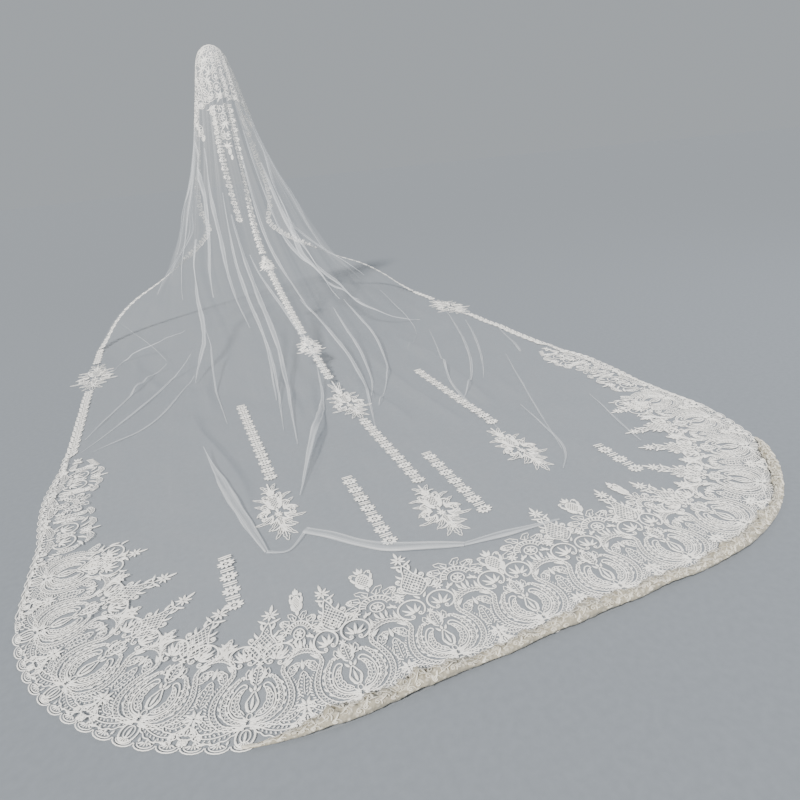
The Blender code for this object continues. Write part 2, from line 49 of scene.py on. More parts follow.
MEDALLIONS = 7
TULLE_WALL = 0.0012
SEAM_GAP = 0.0005
FALL_ROWS = 13
TRAIN_ROWS = 9
ROWS = FALL_ROWS + TRAIN_ROWS
COLUMNS = 75
CENTRE = COLUMNS / 2
COLUMN_WIDTH = 2 * HALF_WIDTH / COLUMNS
SIDE_SHARE = 0.72
EDGE_FLAT = 0.180

# Finer grid of the tulle
FINE_COLUMNS = 300
FALL_STEPS = 8             # fine rows to a row of the fall
TRAIN_STEPS = 15           # fine rows to a row of the train

# half_width, back_y, back_z, side_y, edge_x, edge_y, edge_z, spread of each section of the fall
LEVELS = np.array((
    (0.080, -0.045, 1.700, -0.040, 0.078, -0.060, 1.600, 0.00),
    (0.108, 0.050, 1.685, -0.015, 0.100, -0.085, 1.490, 0.00),
    (0.135, 0.115, 1.595, 0.000, 0.125, -0.110, 1.360, 0.00),
    (0.170, 0.140, 1.430, 0.000, 0.155, -0.135, 1.200, 0.00),
    (0.212, 0.162, 1.240, 0.000, 0.190, -0.160, 1.020, 0.00),
    (0.272, 0.225, 1.030, 0.000, 0.230, -0.185, 0.850, 0.00),
    (0.350, 0.335, 0.800, 0.000, 0.235, -0.210, 0.700, 0.00),
    (0.440, 0.500, 0.560, 0.010, 0.205, -0.220, 0.560, 0.05),
    (0.560, 0.720, 0.390, 0.020, 0.370, -0.180, 0.420, 0.20),
    (0.700, 1.020, 0.270, 0.020, 0.620, -0.060, 0.290, 0.50),
    (0.860, 1.340, 0.170, 0.060, 0.835, 0.050, 0.200, 0.85),
    (0.970, 1.640, 0.090, 0.150, 0.965, 0.150, 0.115, 1.00),
    (1.045, 1.910, 0.035, 0.290, 1.045, 0.290, 0.035, 1.00),
    (1.0875, 2.150, 0.000, 0.450, 1.0875, 0.450, 0.000, 1.00),
))
GATHER_DEPTH = np.array((0.000, 0.002, 0.005, 0.012, 0.020, 0.026, 0.032, 0.036, 0.034, 0.028, 0.020,
                         0.012, 0.005, 0.000))
GATHERS = 15
PLAIN_EDGE = 3.5

# Long soft folds on the floor: x0, y0, x1, y1, half_width, height
FOLDS = (
    (0.62, 1.95, 0.50, 2.85, 0.032, 0.045),
    (0.06, 1.90, 0.30, 2.80, 0.032, 0.040),
    (0.80, 1.10, 0.70, 2.10, 0.036, 0.022),
    (0.87, 0.70, 0.82, 1.80, 0.034, 0.020),
    (0.48, 1.40, 0.55, 2.00, 0.034, 0.026),
    (0.22, 1.75, 0.20, 2.50, 0.032, 0.024),
    (-0.10, 1.90, -0.14, 2.60, 0.030, 0.022),
    (-0.25, 1.80, -0.30, 2.70, 0.032, 0.030),
    (-0.52, 1.50, -0.50, 2.60, 0.034, 0.036),
    (-0.82, 1.30, -0.60, 2.60, 0.034, 0.028),
    (-0.87, 0.75, -0.84, 1.90, 0.034, 0.020),
)

# Flat folds where the tulle lies doubled on the floor: x, y, width at each of three places
FLAT_FOLDS = (
    (0.590, 2.370, 0.002, 0.540, 2.790, 0.036, 0.495, 3.085, 0.010),
    (0.495, 3.085, 0.010, 0.440, 3.105, 0.007, 0.385, 3.050, 0.012),
    (0.380, 3.040, 0.024, 0.210, 3.220, 0.036, 0.030, 3.310, 0.018),
    (0.030, 3.310, 0.014, -0.090, 3.325, 0.022, -0.240, 3.340, 0.006),
    (0.020, 1.930, 0.002, 0.180, 2.420, 0.030, 0.350, 2.850, 0.003),
    (-0.570, 2.650, 0.003, -0.500, 3.000, 0.008, -0.410, 3.130, 0.003),
    (-0.840, 2.720, 0.002, -0.770, 2.950, 0.007, -0.720, 3.120, 0.003),
    (-0.840, 2.110, 0.002, -0.660, 2.560, 0.006, -0.480, 3.030, 0.002),
)

# Creases from the head outwards: across, row, width at each of three places
CREASES = (
    (0.650, 12.20, 0.004, 0.780, 14.60, 0.012, 0.947, 17.60, 0.004),
    (0.550, 11.50, 0.005, 0.720, 14.80, 0.014, 0.950, 18.05, 0.002),
    (0.530, 12.40, 0.004, 0.700, 15.70, 0.011, 0.910, 17.80, 0.002),
    (0.590, 10.60, 0.003, 0.785, 12.00, 0.014, 0.893, 14.00, 0.004),
    (0.960, 11.10, 0.005, 0.747, 11.60, 0.016, 0.647, 12.10, 0.003),
    (0.400, 7.10, 0.020, 0.467, 9.60, 0.051, 0.527, 12.70, 0.005),
    (0.473, 10.40, 0.005, 0.453, 12.00, 0.017, 0.447, 14.90, 0.004),
    (0.127, 6.50, 0.008, 0.117, 9.20, 0.029, 0.253, 15.60, 0.004),
    (0.170, 5.90, 0.006, 0.167, 8.90, 0.025, 0.240, 12.90, 0.004),
    (0.187, 10.20, 0.003, 0.207, 11.90, 0.014, 0.273, 14.90, 0.002),
    (-0.367, 10.00, 0.007, -0.360, 11.70, 0.025, -0.093, 14.20, 0.004),
    (-0.087, 9.40, 0.005, -0.153, 11.50, 0.022, -0.013, 15.30, 0.004),
    (-0.753, 11.00, 0.005, -0.613, 13.00, 0.013, -0.447, 12.90, 0.004),
    (-0.247, 10.10, 0.005, -0.227, 11.60, 0.020, -0.093, 13.70, 0.004),
    (-0.927, 14.60, 0.004, -0.613, 15.70, 0.014, -0.367, 16.10, 0.002),
    (-0.907, 15.50, 0.004, -0.747, 15.90, 0.012, -0.553, 16.30, 0.002),
    (-0.960, 16.90, 0.004, -0.873, 17.30, 0.012, -0.847, 17.40, 0.004),
    (-0.673, 13.70, 0.002, -0.427, 15.30, 0.011, -0.360, 17.60, 0.002),
    (0.660, 3.40, 0.012, 0.660, 5.50, 0.032, 0.750, 7.75, 0.010),
    (0.667, 3.00, 0.008, 0.613, 5.70, 0.024, 0.573, 9.40, 0.007),
    (0.607, 3.50, 0.010, 0.340, 6.00, 0.032, 0.353, 9.10, 0.009),
    (-0.493, 3.50, 0.008, -0.240, 7.90, 0.032, -0.493, 10.40, 0.007),
    (-0.207, 4.20, 0.008, -0.187, 7.00, 0.027, -0.340, 9.90, 0.007),
    (-0.080, 4.90, 0.006, -0.060, 6.90, 0.022, -0.107, 9.90, 0.005),
    (-0.253, 5.20, 0.008, -0.293, 8.10, 0.037, -0.720, 13.20, 0.005),
    (0.073, 7.60, 0.006, 0.010, 10.40, 0.021, 0.000, 12.20, 0.004),
    (0.347, 4.50, 0.008, 0.233, 7.10, 0.027, 0.240, 10.20, 0.005),
    (0.840, 5.20, 0.010, 0.870, 7.00, 0.032, 0.800, 9.60, 0.005),
    (-0.640, 3.60, 0.012, -0.680, 6.00, 0.032, -0.730, 8.40, 0.008),
    (-0.820, 4.80, 0.008, -0.860, 7.20, 0.032, -0.780, 10.20, 0.005),
)

GATHERS_TO = 11.5          # last row where a crease starts in the gathers
FOLD_STEPS = 49            # places along a fold or crease
FOLD_LIFT = 0.0042         # height of a flat fold's middle over the cloth below it
ONE_LAYER = 0.075          # how much one layer of tulle covers

# Lace along the hem: inner outline at each place, in repeats from the centre back
CREST = np.array((
    (0.00, 0.300), (0.25, 0.280), (0.50, 0.330), (0.75, 0.300), (1.00, 0.405), (1.25, 0.300),
    (1.50, 0.370), (1.75, 0.310), (2.00, 0.385), (2.25, 0.300), (2.50, 0.390), (2.75, 0.270),
    (3.00, 0.355), (3.25, 0.275), (3.50, 0.255), (3.75, 0.275), (4.00, 0.355), (4.25, 0.260),
    (4.50, 0.240), (4.75, 0.260), (5.00, 0.360), (5.25, 0.260), (5.50, 0.240), (5.75, 0.260),
    (6.00, 0.360), (6.25, 0.270), (6.50, 0.220), (6.75, 0.230), (7.00, 0.295), (7.35, 0.210),
    (7.75, 0.130), (8.10, 0.165), (8.60, 0.175), (9.20, 0.180), (9.80, 0.165), (10.35, 0.120),
    (10.80, 0.050),
))
EDGE_SWELL = (7.9, 10.4, 0.024)    # the side lace bulges between these repeats, by so much
SCALLOPS_PER_REPEAT = 5
BACK_TO = 2.7              # the last repeat of the back length, and of the corner lengths
CORNERS_TO = 6.7
FINIAL_TOP = 396           # height of the drawn finial's star over the hem, in millimetres

# Strips and motifs, as on the solids
# name, x, and the y of its two ends
STRIPS = (
    ("strip_inner_left", 0.190, 2.820, 3.225),
    ("strip_inner_right", -0.095, 2.810, 3.225),
    ("strip_long_left", 0.410, 1.980, 2.712),
    ("strip_long_right", -0.400, 2.050, 2.752),
    ("strip_outer_left", 0.600, 3.050, 3.270),
    ("strip_outer_right", -0.590, 3.070, 3.270),
)
# row, width, length of those on the hanging cloth
CENTRE_MOTIFS = ((8.1, 0.110, 0.170), (11.0, 0.150, 0.220))
# name, x, y, width, length
FLOOR_MOTIFS = (
    ("motif_centre_3", 0.000, 2.230, 0.170, 0.400),
    ("motif_centre_4", 0.015, 3.130, 0.160, 0.290),
    ("motif_long_left", 0.430, 2.890, 0.150, 0.340),
    ("motif_long_right", -0.370, 2.940, 0.150, 0.360),
    ("motif_edge_left", 1.055, 1.070, 0.230, 0.480),
    ("motif_edge_right", -1.055, 1.070, 0.230, 0.480),
)
MOTIF_WIDTH = 0.200        # size of the leaf motif as drawn
MOTIF_LENGTH = 0.340
STRIP_WIDE = 1.18          # the photograph's strips are 46 mm wide, the drawn link 39 mm
LINK = 0.058               # length of one rosette and its bars
CAP_ROWS = 3.45            # rows down to the edge of the lace on the crown
CAP_LOBES = 11
CAP_STEP = 0.048           # distance between rings of shapes on the crown
CAP_PITCH = 0.058          # distance between shapes in a ring

# The turned-up edge of the back hem
ROLL_FROM = -5.2 * REPEAT
ROLL_TO = 3.0 * REPEAT
ROLL_WIDTH = 0.034
ROLL_HEIGHT = 0.026
ROLL_PAST = 0.004          # how far it reaches past the hem
ROLL_LIFT = 0.004          # how far it lies above the cloth
ROLL_CURLS = 17            # distance between its curls, in millimetres
ROLL_DRAWN = 60            # height of the drawing that is wrapped round it, in millimetres

# Threads
THREAD = 3.2               # width of a corded outline, in millimetres
FINE_THREAD = 2.3          # width of the lighter threads
THREAD_RISE = 1.1          # height of a thread over the tulle
LINE_STEP = 5.0            # spacing of points along a thread
BAND_WIDTH = 10.0
BAND_PITCH = 4.4           # distance between the knots of a band
HATCH_THREAD = 1.9


# Cloth surface

def between_rows(table, places):
    """A smooth curve through the rows of a table, read at places counted in rows."""
    rows = np.asarray(table, dtype=float)
    places = np.asarray(places, dtype=float)
    last = len(rows) - 1
    low = np.clip(places.astype(int), 0, last - 1)
    part = (places - low).reshape(places.shape + (1,) * (rows.ndim - 1))
    before, here = rows[np.maximum(low - 1, 0)], rows[low]
    there, after = rows[low + 1], rows[np.minimum(low + 2, last)]
    leave = (there - before) / 2
    arrive = (after - here) / 2
    return ((2 * part**3 - 3 * part**2 + 1) * here + (part**3 - 2 * part**2 + part) * leave
            + (3 * part**2 - 2 * part**3) * there + (part**3 - part**2) * arrive)


def ease(value):
    value = np.clip(value, 0.0, 1.0)
    return value * value * (3 - 2 * value)


def fall_points(across, level):
    """The cloth between head and floor, before its gathers."""
    across, level = np.broadcast_arrays(np.asarray(across, float), np.asarray(level, float))
    half_width, back_y, back_z, side_y, edge_x, edge_y, edge_z, spread = np.moveaxis(
        between_rows(LEVELS, level), -1, 0)
    share = np.abs(across)
    side_z = back_z + (edge_z - back_z) * SIDE_SHARE
    turn = math.pi / 2 * np.minimum(share / SIDE_SHARE, 1)
    tip = math.pi / 2 * np.clip((share - SIDE_SHARE) / (1 - SIDE_SHARE), 0, 1)
    near = share <= SIDE_SHARE
    x = np.where(near, half_width * np.sin(turn), edge_x + (half_width - edge_x) * np.cos(tip))
    y = side_y + np.where(near, (back_y - side_y) * np.cos(turn), (edge_y - side_y) * np.sin(tip))
    z = side_z + np.where(near, (back_z - side_z) * np.cos(turn), (edge_z - side_z) * np.sin(tip))
    fan = np.cos(math.pi / 2 * share)
    spread = np.clip(spread, 0, 1)
    x = x + (edge_x * share - x) * spread
    y = y + (edge_y + (back_y - edge_y) * fan - y) * spread
    z = z + (edge_z + (back_z - edge_z) * fan - z) * spread
    return np.stack((np.copysign(x, across), y, np.maximum(z, 0)), axis=-1)


def hem_line(x):
    past = np.clip(np.abs(x) - (HALF_WIDTH - CORNER_RADIUS), 0, CORNER_RADIUS)
    return TRAIN_LENGTH - CORNER_RADIUS + np.sqrt(CORNER_RADIUS**2 - past**2)


def landing_line(x):
    """Where the cloth reaches the floor."""
    return fall_points(np.clip(np.asarray(x) / HALF_WIDTH, -1, 1), FALL_ROWS)[..., 1]


def inside_edge(x, y):
    from_side = np.abs(x) - (HALF_WIDTH - CORNER_RADIUS)
    from_back = y - (TRAIN_LENGTH - CORNER_RADIUS)
    straight = np.minimum(HALF_WIDTH - np.abs(x), TRAIN_LENGTH - y)
    corner = CORNER_RADIUS - np.hypot(from_side, from_back)
    return np.where((from_side > 0) & (from_back > 0), corner, straight)


def gather_lift(column, row):
    """Gathers from the head, uneven in depth, with finer ones between them."""
    drift = 0.16 * np.sin(0.55 * row + 0.9 * np.round((column - CENTRE) / 5))
    phase = (column - CENTRE) / (COLUMNS / GATHERS)
    uneven = 0.80 + 0.28 * np.sin(2.4 * np.round(phase) + 0.6)
    depth = between_rows(GATHER_DEPTH, np.minimum(row, FALL_ROWS))
    depth = depth * ease((CENTRE - np.abs(column - CENTRE)) / PLAIN_EDGE - 0.3)
    main = (0.5 + 0.5 * np.cos(2 * math.pi * phase)) ** 1.25
    fine = 0.5 + 0.5 * np.cos(2 * math.pi * (phase * 3.0 + drift + 0.4 * np.sin(0.7 * phase)))
    lift = depth * (uneven * main + 0.20 * fine * (0.6 + 0.4 * np.sin(1.7 * phase + 0.4 * row)))
    return np.maximum(lift, 0) * (row < FALL_ROWS)


def train_height(x, y):
    """Height of the cloth over the floor where it lies there."""
    lift = np.zeros(np.shape(x))
    for x0, y0, x1, y1, half_width, height in FOLDS:
        length = math.hypot(x1 - x0, y1 - y0)
        place = ((x - x0) * (x1 - x0) + (y - y0) * (y1 - y0)) / length**2
        off = ((x - x0) * (y1 - y0) - (y - y0) * (x1 - x0)) / length
        wander = 0.012 * np.sin(7 * place + 9 * x0)
        along = np.sin(math.pi * np.clip(place, 0, 1)) ** 0.7
        lift += height * along * np.exp(-((off - wander) / (half_width * 0.72)) ** 2)
    # the folds end before the deep lace and before the sides
    clear = np.where(y < 1.5, 1.0, ease((inside_edge(x, y) - 0.40) / 0.10))
    clear = clear * ease((inside_edge(x, y) - EDGE_FLAT) / 0.06)
    swell = 1 + np.sin(23 * x + 2.0 * np.sin(9 * y))
    swell = 0.0012 * swell * (1 + np.sin(19 * y + 1.5 * np.sin(11 * x)))
    return lift * clear + swell


class Cloth:
    """The tulle as one finely divided surface that every other piece is laid on."""

    def __init__(self):
        self.across = np.linspace(-1, 1, FINE_COLUMNS + 1)
        fall = np.arange(FALL_ROWS * FALL_STEPS) / FALL_STEPS
        train = FALL_ROWS + np.arange(TRAIN_ROWS * TRAIN_STEPS + 1) / TRAIN_STEPS
        self.rows = np.concatenate((fall, train))
        across, row = np.meshgrid(self.across, self.rows, indexing="ij")
        base = fall_points(across, np.minimum(row, FALL_ROWS))
        part = np.clip((row - FALL_ROWS) / TRAIN_ROWS, 0, 1)
        base[..., 1] += (hem_line(base[..., 0]) - base[..., 1]) * part
        column = CENTRE + across * CENTRE
        self.points = base + self.facing(base) * gather_lift(column, row)[..., None]
        lift = train_height(self.points[..., 0], self.points[..., 1])
        self.points[..., 2] += lift * ease((row - (FALL_ROWS - 2.5)) / 2.5)
        self.outward = self.facing(self.points)

    @staticmethod
    def facing(points):
        along = np.gradient(points, axis=1)
        wide = np.gradient(points, axis=0)
        out = np.cross(wide, along)
        out /= np.maximum(np.linalg.norm(out, axis=2, keepdims=True), 1e-12)
        return out if out[FINE_COLUMNS // 2, -1, 2] > 0 else -out

    def read(self, grid, across, row):
        column = (np.clip(across, -1, 1) + 1) / 2 * FINE_COLUMNS
        c = np.minimum(column.astype(int), FINE_COLUMNS - 1)
        fall = np.clip(row, 0, FALL_ROWS) * FALL_STEPS
        train = np.clip(row - FALL_ROWS, 0, TRAIN_ROWS) * TRAIN_STEPS
        fine = fall + train
        r = np.minimum(fine.astype(int), len(self.rows) - 2)
        a, b = (column - c)[..., None], (fine - r)[..., None]
        return ((1 - a) * (1 - b) * grid[c, r] + a * (1 - b) * grid[c + 1, r]
                + (1 - a) * b * grid[c, r + 1] + a * b * grid[c + 1, r + 1])

    def at(self, across, row):
        across, row = np.broadcast_arrays(np.asarray(across, float), np.asarray(row, float))
        out = self.read(self.outward, across, row)
        return self.read(self.points, across, row), out / np.linalg.norm(out, axis=-1, keepdims=True)

    def on_floor(self, x, y):
        """The cloth at places on the floor, also just past its edge."""
        x, y = np.broadcast_arrays(np.asarray(x, float), np.asarray(y, float))
        inner_x = np.clip(x, -HALF_WIDTH, HALF_WIDTH)
        hem = hem_line(inner_x)
        inner_y = np.minimum(y, hem)
        landing = landing_line(inner_x)
        row = FALL_ROWS + TRAIN_ROWS * (inner_y - landing) / (hem - landing)
        points, outward = self.at(inner_x / HALF_WIDTH, np.clip(row, 0, ROWS))
        points[..., 0] += x - inner_x
        points[..., 1] += y - inner_y
        return points, outward

    def scale_at(self, across, row):
        """Metres to one unit across and one row near a place, and the rows' slant to the columns."""
        left, right = max(across - 0.02, -1), min(across + 0.02, 1)
        wide = (self.at(right, row)[0] - self.at(left, row)[0]) / (right - left)
        long = (self.at(across, row + 0.4)[0] - self.at(across, row - 0.4)[0]) / 0.8
        metres_row = float(np.linalg.norm(long))
        slant = float(wide @ long) / metres_row**2
        return float(np.linalg.norm(wide - slant * long)), metres_row, slant


def hem_places(along, height):
    """Places on the floor, by run along the medallion line and height over the hem."""
    straight = HALF_WIDTH - CORNER_RADIUS
    radius = CORNER_RADIUS - MEDALLION_LINE
    run = np.abs(along)
    turn = np.clip((run - straight) / radius, 0, math.pi / 2)
    past = np.maximum(run - straight - radius * math.pi / 2, 0)
    out_x, out_y = np.sin(turn), np.cos(turn)
    x = np.minimum(run, straight) + CORNER_RADIUS * out_x
    y = TRAIN_LENGTH - CORNER_RADIUS + CORNER_RADIUS * out_y - past
    sign = np.where(along < 0, -1.0, 1.0)
    return sign * (x - height * out_x), y - height * out_y


# Drawing lace, in millimetres, with v up from the hem

class Lace:
    """Centre lines of threads, petals and stitches; each point has u, v, a width and a rise."""

    def __init__(self):
        self.lines = []

    def line(self, points, widths, rise=THREAD_RISE):
        points = np.asarray(points, float)
        widths = np.broadcast_to(np.asarray(widths, float), (len(points),))
        self.lines.append(np.column_stack((points, widths, np.full(len(points), rise))))

    def thread(self, points, width=THREAD, closed=False, step=LINE_STEP):
        points = evenly(points, step, closed)
        widths = np.full(len(points), float(width))
        if not closed:
            widths[[0, -1]] *= 0.45
        self.line(points, widths)

    def petal(self, u, v, heading, length, width, bend=0.0):
        """A filled leaf with a ridge, from its root at (u, v)."""
        share = np.array((0.0, 0.30, 0.68, 1.0))
        turn = math.radians(heading) + math.radians(bend) * share
        side = length * directions(turn) * share[:, None]
        self.line(side + (u, v), width * np.array((0.35, 1.0, 0.80, 0.10)), THREAD_RISE * 1.3)

    def petals(self, *rows):
        for row in rows:
            self.petal(*row)

    def feather(self, points, reach, pitch, side, lean, lobes, width):
        """Slanted satin stitches along one side of a line, in lobes."""
        spine = evenly(points, pitch)
        way = np.gradient(spine, axis=0)
        turn = np.arctan2(way[:, 1], way[:, 0]) + side * math.radians(lean)
        share = np.linspace(0, 1, len(spine))
        length = reach * np.sin(math.pi * (0.10 + 0.84 * share)) ** 0.6
        if lobes:
            length = length * (0.62 + 0.38 * np.abs(np.sin(math.pi * lobes * share)))
        for root, tip in zip(spine, spine + directions(turn) * length[:, None]):
            middle = root * 0.4 + tip * 0.6
            self.line((root, middle, tip), (width * 0.7, width, width * 0.35), THREAD_RISE * 0.9)

    def band(self, points):
        """Two knotted cords with a zigzag between them."""
        spine = evenly(points, BAND_PITCH)
        across = way_and_left(spine)[1]
        half = BAND_WIDTH / 2 * np.sin(math.pi * np.linspace(0.12, 0.88, len(spine)))[:, None] ** 0.5
        odd = np.arange(len(spine)) % 2 > 0
        knots = FINE_THREAD * np.where(odd, 1.5, 0.62)
        self.line(spine + across * half, knots)
        self.line(spine - across * half, knots)
        swing = np.where(odd, 0.62, -0.62)[:, None]
        self.line(spine + across * half * swing, 1.6, THREAD_RISE * 0.7)

    def leaf(self, u, v, heading, length, width, lobes=5, bend=0.0):
        """A small lobed leaf: corded outline and a midrib."""
        share = np.linspace(0, 1, 2 * lobes + 1)
        turn = math.radians(heading) + math.radians(bend) * share
        spine = directions(turn) * (length * share)[:, None] + (u, v)
        across = np.column_stack((-np.sin(turn), np.cos(turn)))
        full = width / 2 * np.sin(math.pi * share**0.8) ** 0.75
        half = (full * np.where(np.arange(len(share)) % 2, 1.14, 0.74))[:, None]
        self.line(around(spine, across * half), FINE_THREAD)
        self.line(spine[:-1:2], 3.0)

    def acanthus(self, points, width, lobes=5, cord=FINE_THREAD):
        """A lobed leaf on a bent spine: corded outline, midrib and a row of dashes on each side."""
        spine = evenly(points, 3.9)
        way, across = way_and_left(spine)
        share = np.linspace(0, 1, len(spine))
        full = width / 2 * np.sin(math.pi * (0.05 + 0.94 * share**0.85)) ** 0.7
        half = (full * (0.76 + 0.30 * np.abs(np.sin(math.pi * lobes * share))))[:, None]
        self.line(around(spine, across * half), cord)
        self.line(spine[1:-1:2], 2.0)
        for i in range(2, len(spine) - 2, 2):
            for side in (1, -1):
                root = spine[i] + across[i] * side * full[i] * 0.26
                tip = spine[i] + across[i] * side * full[i] * 0.62 + way[i] * 2.6
                self.line((root, tip), 2.4, THREAD_RISE * 0.8)

    def curl(self, u, v, heading, length, start, end, width=THREAD):
        """A scroll that tightens from one curvature to another, in turns per millimetre."""
        self.thread(scroll(u, v, heading, length, start, end), width, step=3.6)

    def flower(self, u, v, size, petals=8, turn=0.0):
        for i in range(petals):
            heading = turn + 360 * i / petals
            root = on_ring(u, v, 0.20 * size, 0.20 * size, heading)
            self.petal(*root, heading, size * 0.80, size * 2.1 / petals + 0.8)
        self.ring(u, v, size * 0.18, size * 0.18, 1.8)

    def ring(self, u, v, wide, high, width=THREAD, start=0, stop=360):
        count = max(7, int((stop - start) / 360 * (wide + high) * 0.75) + 1)
        turn = np.radians(np.linspace(start, stop, count))
        self.line(np.column_stack((u + wide * np.cos(turn), v + high * np.sin(turn))), width)

    def hatch(self, outline, pitch):
        """Two sets of crossing threads inside a convex outline."""
        outline = np.asarray(outline, float)
        for angle in (0.9, -0.9):
            off = np.array((-math.sin(angle), math.cos(angle)))
            reach = outline @ off
            for level in np.arange(reach.min() + pitch / 2, reach.max(), pitch):
                hits = []
                for a, b in zip(outline, np.roll(outline, -1, axis=0)):
                    da, db = a @ off - level, b @ off - level
                    if da * db < 0:
                        hits.append(a + (b - a) * da / (da - db))
                if len(hits) == 2:
                    self.line(hits, HATCH_THREAD, THREAD_RISE * 0.7)

    def add(self, other, u=0.0, v=0.0, turn=0.0, scale=1.0, wide=None, flip=False):
        """Places another drawing in this one."""
        wide = scale if wide is None else wide
        cos, sin = math.cos(math.radians(turn)), math.sin(math.radians(turn))
        for line in other.lines:
            line = line.copy()
            x, y = line[:, 0] * wide * (-1 if flip else 1), line[:, 1] * scale
            line[:, 0], line[:, 1] = u + x * cos - y * sin, v + x * sin + y * cos
            self.lines.append(line)
        return self

    def fanned(self):
        """The drawing widened upwards, for the corners, where the inner side of the lace is shorter."""
        lace = Lace()
        for line in self.lines:
            line = line.copy()
            line[:, 0] *= (CORNER_RADIUS - MEDALLION_LINE) / (CORNER_RADIUS - line[:, 1] / 1000)
            lace.lines.append(line)
        return lace

    def mirrored(self):
        """The drawing with its reflection in u."""
        return Lace().add(self).add(self, flip=True)


def run_along(points):
    """How far each point is from the first, along the line."""
    return np.concatenate(((0.0,), np.cumsum(np.linalg.norm(np.diff(points, axis=0), axis=1))))


def directions(turn):
    return np.column_stack((np.cos(turn), np.sin(turn)))


def way_and_left(spine):
    """Direction of a flat line at each place, and the direction to its left."""
    way = np.gradient(spine, axis=0)
    way /= np.linalg.norm(way, axis=1)[:, None]
    return way, np.column_stack((-way[:, 1], way[:, 0]))


def around(spine, side):
    """An outline up one side of a spine and down the other."""
    return np.vstack((spine + side, (spine - side)[::-1][1:]))


def on_ring(u, v, wide, high, heading):
    angle = math.radians(heading)
    return u + wide * math.cos(angle), v + high * math.sin(angle)


def evenly(points, step, closed=False):
    """A smooth line through points, with evenly spaced places along it."""
    points = np.asarray(points, float)
    if closed:
        points = np.vstack((points, points[:1]))
    fine = points
    if 2 < len(points) < 14:
        fine = between_rows(points, np.linspace(0, len(points) - 1, 8 * len(points)))
    run = run_along(fine)
    even = np.linspace(0, run[-1], max(3, int(round(run[-1] / step)) + 1))
    return np.column_stack((np.interp(even, run, fine[:, 0]), np.interp(even, run, fine[:, 1])))


def scroll(u, v, heading, length, start, end):
    """Points along a line whose curvature changes evenly."""
    count = max(16, int(length / 2.5))
    curvature = np.linspace(start, end, count) * 2 * math.pi
    turn = math.radians(heading) + np.cumsum(curvature) * length / count
    steps = directions(turn) * length / count
    return np.vstack(((u, v), np.cumsum(steps, axis=0) + (u, v)))


def draw_scallop():
    """One shell of the lace edge, a fifth of a repeat wide."""
    lace = Lace()
    half = REPEAT * 1000 / SCALLOPS_PER_REPEAT / 2
    turn = np.radians(np.linspace(0, 180, 8))
    for wide, deep, rise, width in ((half - 0.8, 11.0, 6.6, 2.4), (half - 6.0, 8.0, 8.0, 1.9)):
        lace.line(np.column_stack((wide * np.cos(turn), rise - deep * np.sin(turn))), width)
    for u, lean in ((-12, -150), (-6, -118), (0, -90), (6, -62), (12, -30)):
        lace.petal(u * 0.4, 11, lean, 8.5, 3.2)
    for u in (-13, 0, 13):
        lace.petal(u, 10, 90 - u, 9, 4.5)
    return lace


def draw_edge_curls():
    """Small curls and leaves over the scallops, half a repeat wide, from the ring to the gap."""
    half = Lace()
    half.curl(76, 14, 28, 46, 0.006, 0.060)
    half.curl(99, 10, 150, 34, -0.008, -0.062)
    half.petals((62, 15, -12, 15, 6), (92, 36, 60, 16, 6))
    return half.mirrored()


def draw_medallion():
    """A lotus bud in corded horseshoes over a seed with spread leaves."""
    half = Lace()
    # crescent leaf beside the bud, in a hooked cord
    half.thread(((5, 57), (28, 64), (44, 86), (43, 112), (34, 131), (24, 137), (17, 131), (22, 125)))
    half.acanthus(((11, 67), (26, 77), (34, 96), (30, 116), (21, 128)), 15, 4)
    half.petal(2, 72, 44, 24, 6, 30)
    for u, v, lean in ((46, 92, -8), (46, 106, 14), (43, 120, 34), (40, 78, -34)):
        half.petal(u, v, lean, 9, 4)
    # horseshoes, the outer one flared
    half.band(((3, 51), (32, 56), (52, 78), (56, 106), (49, 132), (37, 150)))
    half.band(((5, 41), (44, 44), (70, 70), (76, 104), (67, 136), (57, 158), (62, 180)))
    half.feather(((60, 50), (82, 74), (87, 104), (78, 134)), 9, 7.0, -1, 46, 3, 2.8)
    half.acanthus(((71, 140), (78, 154), (88, 164), (97, 168)), 20, 3)
    half.petal(64, 168, 62, 22, 7, -20)
    half.curl(37, 150, 112, 34, 0.010, 0.100)
    # fingers that part the two horseshoes
    for u, v, lean in ((60, 128, 130), (64, 112, 112), (64, 96, 84), (60, 80, 60), (50, 66, 34)):
        half.petal(u, v, lean, 11, 4)
    half.leaf(14, 150, 36, 24, 14, 2, 30)
    half.acanthus(((14, 42), (38, 30), (62, 24), (92, 28)), 25, 5)
    half.acanthus(((54, 45), (72, 42), (88, 54), (95, 72)), 21, 4)
    half.petals((3, 50, 20, 24, 5), (3, 47, -24, 26, 5.5), (2, 53, 52, 18, 4.5))
    lace = half.mirrored()
    bud = ((0, 74), (9, 82), (12, 94), (7, 107), (0, 120), (-7, 107), (-12, 94), (-9, 82))
    lace.thread(bud, THREAD, True)
    lace.petal(0, 80, 90, 30, 6)
    for heading in (58, 90, 122):
        lace.petal(*on_ring(0, 106, 9, 15, heading), heading, 14, 6.0)
    lace.ring(0, 64, 5.0, 7.0, FINE_THREAD)
    lace.ring(0, 24, 16.0, 21.0, THREAD * 1.15)
    lace.ring(0, 24, 8.5, 12.5, FINE_THREAD)
    lace.petal(0, 14, 90, 20, 5)
    return lace


